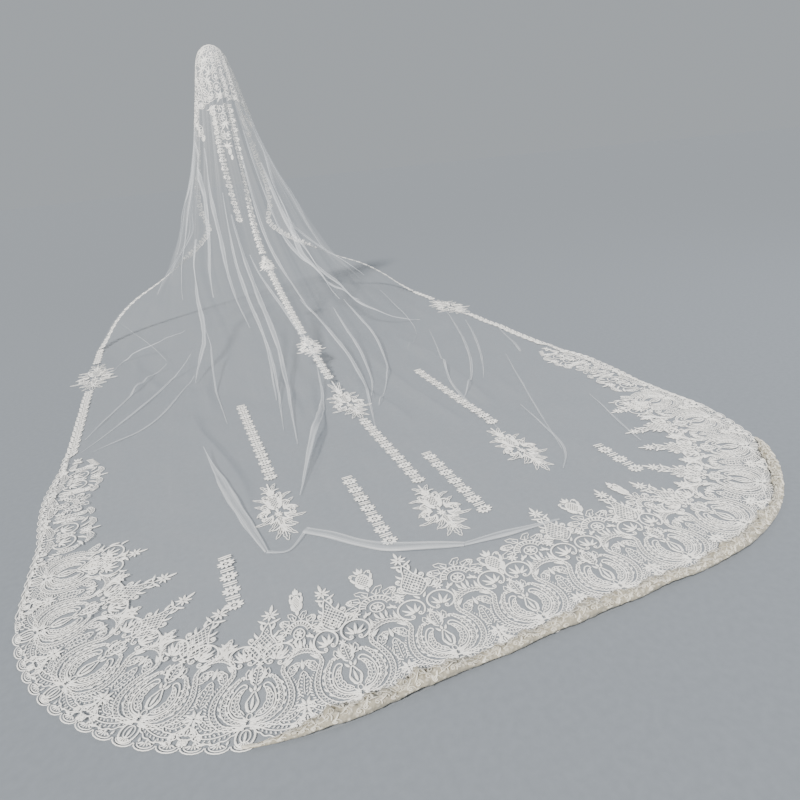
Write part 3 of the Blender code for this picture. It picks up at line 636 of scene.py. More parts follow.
def draw_between():
    """What fills the space between two medallions, up to the hearts."""
    half = Lace()
    half.curl(4, 22, 6, 54, 0.006, 0.052)
    half.petals((4, 34, 48, 15, 6), (13, 150, 64, 18, 5.5, 14), (8, 212, 62, 22, 6.5, 14))
    lace = half.mirrored()
    lace.flower(0, 64, 20, 8, 22.5)
    lace.acanthus(((0, 86), (1, 104), (-1, 124), (0, 146)), 27, 4)
    lace.leaf(0, 30, 90, 18, 12, 3)
    lace.petal(0, 150, 90, 26, 8)
    # arch that joins the horseshoes
    arch = ((-42, 172), (-32, 188), (-14, 197), (0, 199), (14, 197), (32, 188), (42, 172))
    lace.band(arch)
    lace.feather(((-36, 193), (-14, 205), (0, 207), (14, 205), (36, 193)), 10, 7.0, 1, 62, 0, 2.8)
    lace.petal(0, 206, 90, 26, 8)
    lace.flower(0, 14, 8, 6)
    return lace


def draw_heart():
    """A ring-like scroll whose ends hook in under a fern."""
    half = Lace()
    half.curl(17.5, -24.5, -148, 31, -0.011, -0.060)
    half.petals((3, -12, 56, 27, 6.5), (3, -13, 24, 21, 5.5))
    lace = half.mirrored()
    lace.ring(0, 0, 31, 29, THREAD * 1.3, -56, 236)
    lace.petal(0, -14, 90, 33, 7.5)
    return lace


def draw_hearts():
    """The pair of hearts over a medallion, with the tulip between them."""
    half = Lace()
    half.add(draw_heart(), 36, 205, -14)
    half.petals((6, 142, 44, 34, 8, 36), (70, 196, 58, 26, 7, 26), (62, 226, 30, 22, 6.5, 30),
                (4, 228, 52, 18, 6))
    lace = half.mirrored()
    lace.acanthus(((0, 134), (0, 152), (0, 180)), 25, 3, THREAD)
    lace.flower(0, 184, 8, 6)
    return lace


def draw_finial():
    """Crosshatched ogee with scrolled shoulders and a star on top."""
    half = Lace()
    ogee = ((0, 230), (18, 242), (31, 260), (25, 282), (12, 304), (7, 326), (0, 342))
    half.thread(ogee, THREAD * 1.1)
    half.curl(30, 250, 24, 66, 0.003, 0.046)
    half.curl(27, 280, 22, 50, 0.005, 0.060)
    half.petals((34, 244, 14, 26, 7, 30), (14, 296, 30, 22, 6.5, 24), (8, 318, 50, 24, 7, 24),
                (4, 338, 26, 24, 7))
    lace = half.mirrored()
    lace.hatch(((0, 234), (16, 245), (28, 261), (22, 282), (9, 304), (0, 326), (-9, 304), (-22, 282),
                (-28, 261), (-16, 245)), 8.0)
    lace.flower(0, 364, 20, 8)
    lace.petal(0, 372, 90, 25, 8)
    lace.ring(0, 260, 9, 9)
    return lace


def draw_palmette():
    """Fan of curled fingers over an arc of slots and a rosette, with flowers beside it."""
    half = Lace()
    half.flower(53, 247, 13, 7)
    half.curl(46, 276, 10, 60, 0.004, 0.046)
    half.petal(19, 238, -34, 20, 7, 20)
    lace = half.mirrored()
    lace.flower(0, 248, 12, 6)
    lace.ring(0, 248, 16, 15)
    lace.ring(0, 250, 26, 24, FINE_THREAD, 4, 176)
    lace.ring(0, 250, 40, 37, THREAD * 1.1, 0, 180)
    for heading in range(15, 170, 15):
        lace.line((on_ring(0, 250, 28, 26, heading), on_ring(0, 250, 38, 35, heading)), 3.6)
    for heading in (18, 47, 76, 104, 133, 162):
        lace.leaf(*on_ring(0, 250, 43, 40, heading), heading, 34, 20, 2, -30 if heading < 90 else 30)
    return lace


def draw_pineapple():
    """Crosshatched bud between curled leaves, 100 mm high, from its foot."""
    half = Lace()
    half.petals((6, 10, 22, 44, 9, 44), (18, 40, 34, 38, 8, 34))
    half.curl(12, 74, 36, 48, 0.006, -0.052)
    half.petal(3, 78, 62, 24, 8)
    half.curl(5, 8, 0, 44, 0.006, 0.055)
    lace = half.mirrored()
    bud = [(20 * math.cos(a), 46 + 29 * math.sin(a)) for a in np.radians(range(0, 360, 24))]
    lace.thread(bud, THREAD * 1.1, True)
    lace.hatch(bud, 7.6)
    lace.petals((0, 78, 90, 30, 9), (0, 12, -90, 24, 9))
    return lace


def draw_spray():
    """Leafy arm in the valleys of the crest."""
    half = Lace()
    half.petals((4, 212, 58, 30, 8, -20), (4, 226, 52, 24, 7, -20))
    lace = half.mirrored()
    lace.acanthus(((0, 206), (-2, 222), (2, 236), (0, 254)), 22, 4)
    return lace


def draw_side_block():
    """Fan of fingers with curls and leaves, for the narrow lace along the sides, one repeat wide."""
    half = Lace()
    half.acanthus(((72, 40), (80, 62), (82, 88), (72, 112)), 22, 4)
    half.curl(86, 92, 70, 66, 0.001, 0.038)
    half.acanthus(((6, 34), (24, 26), (46, 26), (70, 14)), 20, 5)
    half.petals((92, 66, 40, 26, 8, 30), (92, 44, 60, 20, 7, 20))
    half.acanthus(((58, 118), (72, 128), (86, 132), (98, 128)), 17, 3)
    lace = half.mirrored()
    lace.add(draw_edge_curls())
    lace.add(draw_palmette(), 0, -196)
    lace.petal(0, 20, 90, 18, 7)
    return lace


def draw_side_scrolls():
    """Pair of hearts under a star, for the narrow lace along the sides, one repeat wide."""
    half = Lace()
    half.add(draw_heart(), 38, 70, -14)
    half.curl(8, 108, 40, 78, 0.001, 0.036)
    half.acanthus(((78, 56), (86, 76), (84, 98), (72, 116)), 20, 4)
    half.petals((30, 106, 70, 34, 8, -20), (54, 106, 50, 34, 8, -20))
    half.acanthus(((8, 28), (32, 32), (58, 26), (84, 18)), 21, 5)
    half.acanthus(((20, 132), (38, 140), (56, 138), (72, 128)), 18, 4)
    half.petal(88, 44, 70, 22, 7)
    lace = half.mirrored()
    lace.add(draw_edge_curls())
    lace.acanthus(((0, 46), (0, 66), (0, 96)), 24, 3, THREAD)
    lace.flower(0, 124, 17, 8, 22.5)
    lace.petals((0, 138, 90, 26, 8), (0, 20, 90, 22, 7))
    return lace


def draw_side_tip():
    """The pointed start of the side lace: two spirals that part under a leaf, with fingers outside."""
    lace = Lace()
    for side in (1, -1):
        lace.curl(52, 52 + 4 * side, 180 - 34 * side, 84, side * 0.001, side * 0.034)
        lace.curl(34, 52 + 9 * side, 180 - 60 * side, 50, side * 0.006, side * 0.056, FINE_THREAD)
    for number in range(6):
        lace.petal(30 - 16 * number, 82 + 5 * number, 66, 24, 7, 30)
        lace.petal(34 - 16 * number, 20, -60, 14, 6, -20)
    for heading in (-22, 0, 22):
        lace.petal(46, 50, heading, 36, 8)
    lace.acanthus(((-66, 50), (-40, 42), (-16, 44), (6, 52)), 20, 4)
    lace.flower(-46, 98, 17, 8)
    lace.flower(-66, 22, 12, 8)
    return lace


def draw_rosette():
    """One link of a rosette strip, 58 mm long: a padded rosette and a pair of bars."""
    lace = Lace()
    for heading in range(18, 360, 36):
        lace.petal(*on_ring(0, 0, 8.5, 8.5, heading), heading, 11.0, 8.0)
    lace.ring(0, 0, 9.4, 9.4, 5.4)
    lace.ring(0, 0, 2.4, 2.4, 3.0)
    for v in (25.0, 33.0):
        lace.line(((-14.5, v), (-5, v), (5, v), (14.5, v)), (3.4, 5.2, 5.2, 3.4))
    return lace


def draw_leaf_motif():
    """Leaf motif 200 mm wide and 340 mm long, hanging down from its upper end."""
    half = Lace()
    # leaves of five fingers: root, heading and length of the middle finger
    for u, v, heading, length, bend in (
            (3, -66, 80, 58, -20), (16, -132, 76, 74, -44), (30, -176, 82, 70, -36),
            (26, -176, 52, 58, -62), (22, -194, -62, 84, 40), (12, -216, -80, 70, 30),
            (4, -250, -84, 76, 24)):
        half.leaf(u, v, heading, length, 17, 3, bend)
        for lean in (16, -22):
            half.petal(u, v, heading + lean, length * 0.62, 7.0, bend + lean)
    half.curl(46, -188, 78, 66, -0.004, -0.042)
    half.curl(44, -200, -70, 66, 0.004, 0.042)
    half.curl(8, -84, 40, 44, -0.006, -0.056)
    lace = half.mirrored()
    lace.add(draw_pineapple(), 0, -172, scale=1.15)
    lace.thread(((0, -4), (0, -60), (0, -100)), 5.0)
    lace.flower(0, -194, 17, 8)
    lace.acanthus(((0, -210), (0, -230), (0, -258)), 24, 3, THREAD)
    lace.leaf(0, -270, -90, 66, 24, 4)
    return lace


def draw_crown_shapes():
    """Fern scroll, leaf and star in the heavier cord of the crown, each about 55 mm across."""
    half = Lace()
    half.curl(14, -20, -148, 28, -0.013, -0.050, 4.6)
    half.petal(3, -8, 46, 20, 8)
    scroll_shape = half.mirrored()
    scroll_shape.ring(0, 0, 26, 25, 5.4, -52, 232)
    scroll_shape.petal(0, -10, 90, 26, 9)
    leaf_shape = Lace()
    for side in (1, -1):
        turn = np.radians(np.linspace(-90, 90, 7))
        leaf_shape.line(np.column_stack((side * 15 * np.cos(turn), 30 * np.sin(turn))), 5.0)
        leaf_shape.petal(side * 2, -12, 90 - side * 52, 17, 6)
        leaf_shape.petal(side * 2, 2, 90 - side * 46, 15, 6)
    leaf_shape.petal(0, -28, 90, 52, 7)
    star_shape = Lace()
    star_shape.flower(0, 0, 21, 6)
    star_shape.ring(0, 0, 26, 26, 4.6)
    fan_shape = Lace()
    for heading in (20, 50, 90, 130, 160):
        fan_shape.petal(0, -20, heading, 44, 10, (heading - 90) * 0.3)
    fan_shape.curl(-22, -20, -20, 46, -0.004, 0.020, 4.8)
    return scroll_shape, leaf_shape, star_shape, fan_shape


# Laying lace on the cloth

class Layout:
    """Lines of lace laid on the cloth, gathered up to make one mesh."""

    def __init__(self):
        self.centres, self.outward, self.sizes, self.runs, self.starts = [], [], [], [], []

    def lay(self, lace, place):
        """place turns u and v, in millimetres, into points and outward directions."""
        data = np.vstack(lace.lines)
        points, outward = place(data[:, 0], data[:, 1])
        self.centres.append(points)
        self.outward.append(outward)
        self.sizes.append(data[:, 2:] / 1000)
        for line in lace.lines:
            self.runs.append(run_along(line[:, :2] / 1000))
            self.starts.append(np.arange(len(line)) == 0)

    def mesh(self, name, material, stands_for, base=TULLE_WALL + SEAM_GAP):
        """Ridged threads along the lines, in the place of a solid."""
        centres, outward = np.vstack(self.centres), np.vstack(self.outward)
        widths, rises = np.vstack(self.sizes).T
        runs, first = np.concatenate(self.runs), np.concatenate(self.starts)
        number = np.arange(len(centres))
        last = np.roll(first, -1)
        after, before = np.where(last, number, number + 1), np.where(first, number, number - 1)
        along = centres[after] - centres[before]
        side = np.cross(outward, along)
        side /= np.maximum(np.linalg.norm(side, axis=1, keepdims=True), 1e-9)
        low = centres + outward * base
        ridge = centres + outward * (base + rises)[:, None]
        half = side * widths[:, None] / 2
        places = np.stack((low + half, ridge, low - half), axis=1).reshape(-1, 3)
        a = np.flatnonzero(~last) * 3
        faces = np.concatenate((np.stack((a, a + 1, a + 4, a + 3), axis=1),
                                np.stack((a + 1, a + 2, a + 5, a + 4), axis=1)))
        off = np.stack((widths / 2, widths * 0, -widths / 2), axis=1).ravel()
        uv = np.stack((np.repeat(runs, 3), off), axis=1)
        item = make_mesh(name, places, faces, material, uv)
        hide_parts(stands_for)
        return item


def make_mesh(name, places, faces, material, uv=None):
    """A mesh of four-sided faces with an optional map of its cloth; the origin is at the crown."""
    places = places - (0, 0, CROWN_HEIGHT)
    mesh = bpy.data.meshes.new(name)
    mesh.vertices.add(len(places))
    mesh.vertices.foreach_set("co", np.ascontiguousarray(places, dtype=np.float32).ravel())
    mesh.loops.add(faces.size)
    mesh.loops.foreach_set("vertex_index", faces.astype(np.int32).ravel())
    mesh.polygons.add(len(faces))
    mesh.polygons.foreach_set("loop_start", np.arange(0, faces.size, faces.shape[1], dtype=np.int32))
    mesh.update(calc_edges=True)
    if uv is not None:
        layer = mesh.uv_layers.new(name="cloth")
        layer.data.foreach_set("uv", uv[faces.ravel()].astype(np.float32).ravel())
    mesh.materials.append(material)
    mesh.shade_smooth()
    mesh.validate()
    item = bpy.data.objects.new(name, mesh)
    bpy.context.scene.collection.objects.link(item)
    return item


def add_attribute(item, name, values):
    """A value at each point of a mesh, for its material."""
    attribute = item.data.attributes.new(name, "FLOAT", "POINT")
    attribute.data.foreach_set("value", values.astype(np.float32).ravel())


def by_hem(cloth, repeats):
    """Places u and v, in millimetres, from a point on the hem."""
    def place(u, v):
        along = repeats * REPEAT + u / 1000
        low, high, swell = EDGE_SWELL
        bulge = swell * np.sin(math.pi * np.clip((np.abs(along / REPEAT) - low) / (high - low), 0, 1))
        near = 1 - ease(v / 1000 / 0.12)
        return cloth.on_floor(*hem_places(along, v / 1000 - bulge * near))
    return place


def by_floor(cloth, x, y, wide, long):
    """Places u and v round a point on the floor, v running away from the hem."""
    return lambda u, v: cloth.on_floor(x + u * wide / 1000, y - v * long / 1000)


def by_cloth(cloth, across, row, wide=1.0, long=1.0, turn=0.0):
    """Places u and v round a point of the hanging cloth, v running up and u square to it."""
    metres_across, metres_row, slant = cloth.scale_at(across, row)
    cos, sin = math.cos(math.radians(turn)), math.sin(math.radians(turn))

    def place(u, v):
        u, v = u * wide / 1000, v * long / 1000
        off = (u * cos - v * sin) / metres_across
        down = row - off * slant - (u * sin + v * cos) / metres_row
        return cloth.at(across + off, np.clip(down, 0.01, ROWS))
    return place


# Materials

def linear(code):
    """An sRGB hex colour as linear values."""
    values = [int(code[i:i + 2], 16) / 255 for i in (1, 3, 5)]
    return tuple(v / 12.92 if v <= 0.04045 else ((v + 0.055) / 1.055) ** 2.4 for v in values) + (1.0,)


def connect(tree, item, **sockets):
    """Sets sockets, or links them to a socket or to the first output of a node."""
    for name, value in sockets.items():
        name = name.replace("_", " ")
        socket = item.inputs[int(name[3:])] if name.startswith("in ") else item.inputs[name]
        if isinstance(value, bpy.types.Node):
            value = value.outputs[0]
        if isinstance(value, bpy.types.NodeSocket):
            tree.links.new(value, socket)
        else:
            socket.default_value = value


def node(tree, kind, settings=None, stops=(), **sockets):
    """Adds a node with its settings and links; stops are the places and colours of a ramp."""
    item = tree.nodes.new("ShaderNode" + kind)
    for name, value in (settings or {}).items():
        setattr(item, name, value)
    for number, (position, code) in enumerate(stops):
        item.color_ramp.elements[number].position = position
        item.color_ramp.elements[number].color = linear(code)
    connect(tree, item, **sockets)
    return item


def new_material(name):
    material = bpy.data.materials.new(name)
    material.use_nodes = True
    return material, material.node_tree, material.node_tree.nodes["Principled BSDF"]


def soft_tulle():
    """Soft nylon tulle: an even net, almost clear alone, whiter where gathers press it together."""
    material, tree, shader = new_material("soft_nylon_tulle")
    place = node(tree, "UVMap", {"uv_map": "cloth"})
    turned = node(tree, "Mapping", Vector=place, Rotation=(0, 0, math.radians(45)))
    # the real net has 1 mm holes; 3 mm is as fine as the picture can hold
    net = node(tree, "TexVoronoi", {"feature": "DISTANCE_TO_EDGE", "voronoi_dimensions": "2D"},
               Vector=turned, Scale=1 / 0.003, Randomness=0.12)
    thread = node(tree, "MapRange", Value=net, From_Min=0.04, From_Max=0.18, To_Min=1.30, To_Max=0.75)
    layers = node(tree, "Attribute", {"attribute_name": "layers"}).outputs["Fac"]
    # fine pleats run down from the head, 15 mm apart in the flat cut
    streaks = node(tree, "Mapping", Vector=place, Scale=(66.0, 0.9, 1.0))
    pleats = node(tree, "TexNoise", {"noise_dimensions": "2D"}, Vector=streaks, Scale=1.0, Detail=2.0,
                  Roughness=0.6)
    sharp = node(tree, "MapRange", Value=pleats, From_Min=0.52, From_Max=0.74, To_Min=0.75, To_Max=2.3)
    # lying flat, the net has no pleats
    hanging = node(tree, "Attribute", {"attribute_name": "pleated"}).outputs["Fac"]
    pleated = node(tree, "Mix", {"data_type": "FLOAT"}, Factor=hanging, A=0.85, B=sharp)
    body = node(tree, "Math", {"operation": "MULTIPLY"}, in_0=layers, in_1=pleated)
    alpha = node(tree, "Math", {"operation": "MULTIPLY", "use_clamp": True}, in_0=body, in_1=thread)
    cloudy = node(tree, "TexNoise", {"noise_dimensions": "2D"}, Vector=place, Scale=9.0, Detail=3.0)
    colour = node(tree, "ValToRGB", stops=((0.3, "#EDF2F7"), (0.7, "#FAFBFC")), Fac=cloudy)
    connect(tree, shader, Alpha=alpha, Base_Color=colour, Roughness=0.50, Sheen_Weight=0.35,
            Sheen_Roughness=0.4)
    return material


def folded_tulle():
    """The same tulle doubled in a pressed fold: glassy in the middle, denser at its bent edges."""
    material, tree, shader = new_material("doubled_nylon_tulle")
    place = node(tree, "UVMap", {"uv_map": "cloth"})
    streaks = node(tree, "Mapping", Vector=place, Scale=(6.0, 420.0, 1.0))
    silky = node(tree, "TexNoise", {"noise_dimensions": "2D"}, Vector=streaks, Scale=1.0, Detail=3.0)
    bent = node(tree, "Attribute", {"attribute_name": "bent"}).outputs["Fac"]
    clear = node(tree, "MapRange", Value=silky, From_Min=0.3, From_Max=0.7, To_Min=0.04, To_Max=0.17)
    alpha = node(tree, "Math", {"operation": "MULTIPLY_ADD", "use_clamp": True}, in_0=bent, in_1=0.26,
                 in_2=clear)
    colour = node(tree, "ValToRGB", stops=((0.3, "#E4EBF2"), (0.7, "#FBFCFD")), Fac=silky)
    connect(tree, shader, Alpha=alpha, Base_Color=colour, Roughness=0.42, Sheen_Weight=0.4)
    return material


def lace_thread(name, code, shade, rough):
    """Mercerised cotton cord in satin stitch: fine ribs across each thread and a low sheen."""
    material, tree, shader = new_material(name)
    place = node(tree, "UVMap", {"uv_map": "cloth"})
    # satin stitches 1.8 mm apart, coarser than real ones of about 0.5 mm, so that they show
    ribs = node(tree, "TexWave", {"wave_type": "BANDS", "bands_direction": "X"}, Vector=place,
                Scale=176.844, Distortion=1.2, Detail=1.0)
    spot = node(tree, "TexCoord").outputs["Object"]
    worn = node(tree, "TexNoise", Vector=spot, Scale=40.0, Detail=3.0)
    colour = node(tree, "ValToRGB", stops=((0.25, shade), (0.75, code)), Fac=worn)
    gloss = node(tree, "MapRange", Value=worn, To_Min=rough - 0.08, To_Max=rough + 0.08)
    bump = node(tree, "Bump", Height=ribs.outputs["Fac"], Strength=0.5, Distance=0.0004)
    connect(tree, shader, Base_Color=colour, Roughness=gloss, Normal=bump, Sheen_Weight=0.25)
    return material


def rolled_lace():
    """Lace edge turned up on itself, lumpy with cord; its grey-cream colour, darker than the lace, is
    painted shade of the crumpled layers, darkest in the crevices between the lumps.
    """
    material, tree, shader = new_material("rolled_cotton_lace")
    spot = node(tree, "TexCoord").outputs["Object"]
    # lumps 9 mm across, with 4 mm stitches on them
    lumps = node(tree, "TexVoronoi", {"feature": "SMOOTH_F1"}, Vector=spot, Scale=1 / 0.009,
                 Smoothness=0.35)
    fine = node(tree, "TexNoise", Vector=spot, Scale=1 / 0.004, Detail=3.0)
    lump_height_and_shade = node(tree, "Math", {"operation": "MULTIPLY_ADD"}, in_0=fine, in_1=0.5, in_2=lumps)
    # painted shade: the colour darkens where the lumps dip, in the same places that the inverted bump
    # sinks
    colour = node(tree, "ValToRGB", stops=((0.25, "#D9D4C5"), (0.75, "#9F9988")), Fac=lump_height_and_shade)
    bump = node(tree, "Bump", {"invert": True}, Height=lump_height_and_shade, Strength=0.8, Distance=0.003)
    connect(tree, shader, Base_Color=colour, Normal=bump, Roughness=0.75, Sheen_Weight=0.2)
    return material


def studio_floor():
    """Matt pale card."""
    material, tree, shader = new_material("matt_pale_card")
    spot = node(tree, "TexCoord").outputs["Object"]
    grain = node(tree, "TexNoise", Vector=spot, Scale=60.0, Detail=4.0)
    colour = node(tree, "ValToRGB", stops=((0.3, "#777D84"), (0.7, "#7C8289")), Fac=grain)
    connect(tree, shader, Base_Color=colour, Roughness=0.9)
    return material


# Pieces

def make_tulle(cloth, material):
    """The single sheet of tulle, with its own cut as its map and the layers it is pressed into."""
    columns, rows = FINE_COLUMNS + 1, len(cloth.rows)
    index = np.arange(columns * rows).reshape(columns, rows)
    low, right = index[:-1, :-1], index[1:, :-1]
    faces = np.stack((low, right, index[1:, 1:], index[:-1, 1:]), axis=-1).reshape(-1, 4)
    points = cloth.points + (0, 0, TULLE_WALL / 2)
    long = np.linalg.norm(np.diff(cloth.points, axis=1), axis=2).mean(axis=0)
    run = np.concatenate(((0.0,), np.cumsum(long)))
    uv = np.stack(np.meshgrid(cloth.across * HALF_WIDTH, run, indexing="ij"), axis=-1).reshape(-1, 2)
    item = make_mesh("veil_tulle_sheet", points.reshape(-1, 3), faces, material, uv)
    wide = np.linalg.norm(np.gradient(cloth.points, axis=0), axis=2) / (2 * HALF_WIDTH / FINE_COLUMNS)
    pressed = np.clip(1 / np.maximum(wide, 0.1), 1, 6)
    add_attribute(item, "layers", 1 - (1 - ONE_LAYER) ** pressed)
    add_attribute(item, "pleated", np.clip((pressed - 1.04) / 1.2, 0.12, 1))
    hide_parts("veil_tulle")
    return item


def grid_faces(start, sides, steps):
    """Faces of a closed tube, laid out in lengths of so many steps."""
    one = start + np.arange(sides * steps).reshape(sides, steps)
    other = np.roll(one, -1, axis=0)
    return np.stack((one[:, :-1], one[:, 1:], other[:, 1:], other[:, :-1]), axis=-1).reshape(-1, 4)


def make_folds(cloth, material):
    """Pressed folds and creases, each a flattened loop of doubled tulle."""
    places, uvs, edges = [], [], []
    shape = ((-1.0, 0.12), (-0.82, 0.80), (0.0, 1.0), (0.82, 0.80), (1.0, 0.12), (0.6, -0.02),
             (-0.6, -0.02))
    for table, place in ((FLAT_FOLDS, cloth.on_floor), (CREASES, cloth.at)):
        for row in table:
            line = between_rows(np.array(row).reshape(3, 3), np.linspace(0, 2, FOLD_STEPS))
            middle, outward = place(line[:, 0], line[:, 1])
            along = np.gradient(middle, axis=0)
            side = np.cross(outward, along)
            side /= np.linalg.norm(side, axis=1, keepdims=True)
            run = run_along(middle)
            wander = 1 + 0.12 * np.sin(17 * run + 5 * row[0]) + 0.06 * np.sin(43 * run + 3)
            half = line[:, 2] / 2 * wander
            lift = FOLD_LIFT if place == cloth.on_floor else TULLE_WALL * 0.8
            # in the gathers a fold bends with the cloth below it
            gathered = place == cloth.at and row[1] < GATHERS_TO
            beside = 0.01
            if gathered:
                left, right = (cloth.at(line[:, 0] + step, line[:, 1])[0] for step in (beside, -beside))
                wide = np.linalg.norm(left - right, axis=1) / (2 * beside)
            for off, rise in shape:
                height = lift + np.minimum(half * 0.42, 0.006) * rise
                if gathered:
                    spot, up = cloth.at(line[:, 0] + half * off / wide, line[:, 1])
                else:
                    spot, up = middle + side * (half * off)[:, None], outward
                places.append(spot + up * height[:, None])
                uvs.append(np.column_stack((run, half * off)))
                edges.append(np.full(FOLD_STEPS, 1.0 if abs(off) > 0.7 else 0.0))
    faces = [grid_faces(start, len(shape), FOLD_STEPS)
             for start in range(0, len(places) * FOLD_STEPS, len(shape) * FOLD_STEPS)]
    item = make_mesh("tulle_pressed_folds", np.concatenate(places), np.concatenate(faces), material,
                     np.concatenate(uvs))
    add_attribute(item, "bent", np.concatenate(edges))
    return item


def make_hem_lace(cloth, material):
    """The deep lace, in five lengths: centre back, the corners and the sides."""
    medallion, curls, hearts, finial = draw_medallion(), draw_edge_curls(), draw_hearts(), draw_finial()
    between, palmette, pineapple, spray = draw_between(), draw_palmette(), draw_pineapple(), draw_spray()
    side_block, side_scrolls, side_tip = draw_side_block(), draw_side_scrolls(), draw_side_tip()
    scallop = draw_scallop()
    lengths = {name: Layout() for name in ("back", "left_corner", "left", "right_corner", "right")}

    def length_at(repeats):
        if abs(repeats) <= BACK_TO:
            return lengths["back"]
        side = "left" if repeats > 0 else "right"
        return lengths[f"{side}_corner" if abs(repeats) < CORNERS_TO else side]

    end = CREST[-1][0]
    for step in range(-int(end * SCALLOPS_PER_REPEAT), int(end * SCALLOPS_PER_REPEAT) + 1):
        repeats = step / SCALLOPS_PER_REPEAT
        if not ROLL_FROM + 0.02 < repeats * REPEAT < ROLL_TO - 0.02:
            length_at(repeats).lay(scallop, by_hem(cloth, repeats))
    for k in range(-MEDALLIONS, MEDALLIONS + 1):
        layout, place = length_at(k), by_hem(cloth, k)
        corner = 3 <= abs(k) <= 6     # on the round of a corner
        for shape in (medallion, curls, hearts):
            layout.lay(shape.fanned() if corner and shape is hearts else shape, place)
        # a finial over each medallion, and a pineapple over the one at the centre back
        if k:
            top = float(np.interp(abs(k), CREST[:, 0], CREST[:, 1])) * 1000
            crest = Lace().add(finial, 0, top - FINIAL_TOP)
            layout.lay(crest.fanned() if corner else crest, place)
        else:
            layout.lay(Lace().add(pineapple, 0, 216, scale=0.85), place)
    for k in range(-MEDALLIONS, MEDALLIONS):
        half = k + 0.5
        layout, place = length_at(half), by_hem(cloth, half)
        layout.lay(between, place)
        if abs(half) < 3:
            layout.lay(palmette, place)
            if abs(half) > 1:
                layout.lay(Lace().add(pineapple, 0, 314, scale=0.78), place)
        else:
            layout.lay(spray, place)
    for side in (1, -1):
        for repeats, shape in ((8.0, side_scrolls), (8.95, side_block), (9.80, side_scrolls),
                               (10.45, side_tip)):
            drawing = Lace().add(shape, wide=0.7 if shape is side_tip else 1.0, flip=side < 0)
            length_at(side * repeats).lay(drawing, by_hem(cloth, side * repeats))
    return [layout.mesh(f"hem_lace_{name}", material, "hem_lace") for name, layout in lengths.items()]


def train_row(x, y):
    landing = float(landing_line(x))
    return FALL_ROWS + TRAIN_ROWS * (y - landing) / (float(hem_line(x)) - landing)


def centre_across(row):
    """The middle of the strip down the centre back, which leaves the crown a little to one side."""
    return -3.0 * float(ease(1 - (row - CAP_ROWS) / 4.0)) / CENTRE


def make_strips(cloth, material):
    """Rosette strips: down the centre back, beside the crown, on the train and the front edges."""
    rosette = draw_rosette()
    items = []

    def down_cloth(name, across_of, top, bottom, node_name):
        layout = Layout()
        rows = np.linspace(top, bottom, 400)
        across = np.array([across_of(row) for row in rows])
        run = run_along(cloth.at(across, rows)[0])
        count = max(1, int(round(run[-1] / LINK)))
        for i in range(count):
            spot = (i + 0.5) * run[-1] / count
            row, place = float(np.interp(spot, run, rows)), float(np.interp(spot, run, across))
            # nearer the head the strip is a little wider
            wide = STRIP_WIDE * (1 + 0.15 * float(ease((9.0 - row) / 4.0)))
            layout.lay(rosette, by_cloth(cloth, place, row, wide, run[-1] / count / LINK))
        items.append(layout.mesh(name, material, node_name))

    stops = [CAP_ROWS + 0.06]
    for row, _, length in CENTRE_MOTIFS:
        reach = length / 2 / cloth.scale_at(centre_across(row), row)[1] + 0.01
        stops += [row - reach, row + reach]
    for name, x, y, _, length in FLOOR_MOTIFS:
        if name.startswith("motif_centre"):
            stops += [train_row(x, y - length / 2) - 0.01, train_row(x, y + length / 2) + 0.01]
    for number, (top, bottom) in enumerate(zip(stops[0::2], stops[1::2]), 1):
        down_cloth(f"rosettes_centre_{number}", centre_across, top, bottom, f"strip_centre_{number}")
    columns, rows = np.array(((6.2, CAP_ROWS + 0.06), (5.2, 4.6), (3.9, 5.8), (3.0, 6.7))).T
    down_cloth("rosettes_crown", lambda row: np.interp(row, rows, columns) / CENTRE, rows[0], rows[-1],
               "strip_crown")
    for name, x, top, bottom in STRIPS:
        layout = Layout()
        count = int(round((bottom - top) / LINK))
        for i in range(count):
            y = top + (bottom - top) * (i + 0.5) / count
            layout.lay(rosette, by_floor(cloth, x, y, STRIP_WIDE, (bottom - top) / count / LINK))
        items.append(layout.mesh(name.replace("strip", "rosettes"), material, name))
    _, _, motif_y, _, motif_length = FLOOR_MOTIFS[-1]
    middle = HALF_WIDTH - COLUMN_WIDTH * 0.68
    stops = (CAP_ROWS + 0.06, train_row(middle, motif_y - motif_length / 2) - 0.02,
             train_row(middle, motif_y + motif_length / 2),
             train_row(middle, float(hem_places(CREST[-1][0] * REPEAT, 0.0)[1]) - 0.007))
    for across, label in ((middle / HALF_WIDTH, "left"), (-middle / HALF_WIDTH, "right")):
        for number in (1, 2):
            top, bottom = stops[number * 2 - 2:number * 2]
            down_cloth(f"rosettes_edge_{label}_{number}", lambda _, here=across: here, top, bottom,
                       f"trim_edge_{label}_{number}")
    return items


def make_motifs(cloth, material):
    """Leaf motifs at the ends of the strips, down the centre back and on the front edges."""
    # the drawing hangs from its upper end, so it is moved up to be laid from its middle
    motif = Lace().add(draw_leaf_motif(), 0, MOTIF_LENGTH * 1000 / 2)
    items = []

    def lay(name, way, x, y, width, length):
        layout = Layout()
        layout.lay(motif, way(cloth, x, y, width / MOTIF_WIDTH, length / MOTIF_LENGTH))
        items.append(layout.mesh(f"leaf_{name}", material, name))

    for number, (row, width, length) in enumerate(CENTRE_MOTIFS, 1):
        lay(f"motif_centre_{number}", by_cloth, centre_across(row), row, width, length)
    for name, *sizes in FLOOR_MOTIFS:
        lay(name, by_floor, *sizes)
    return items


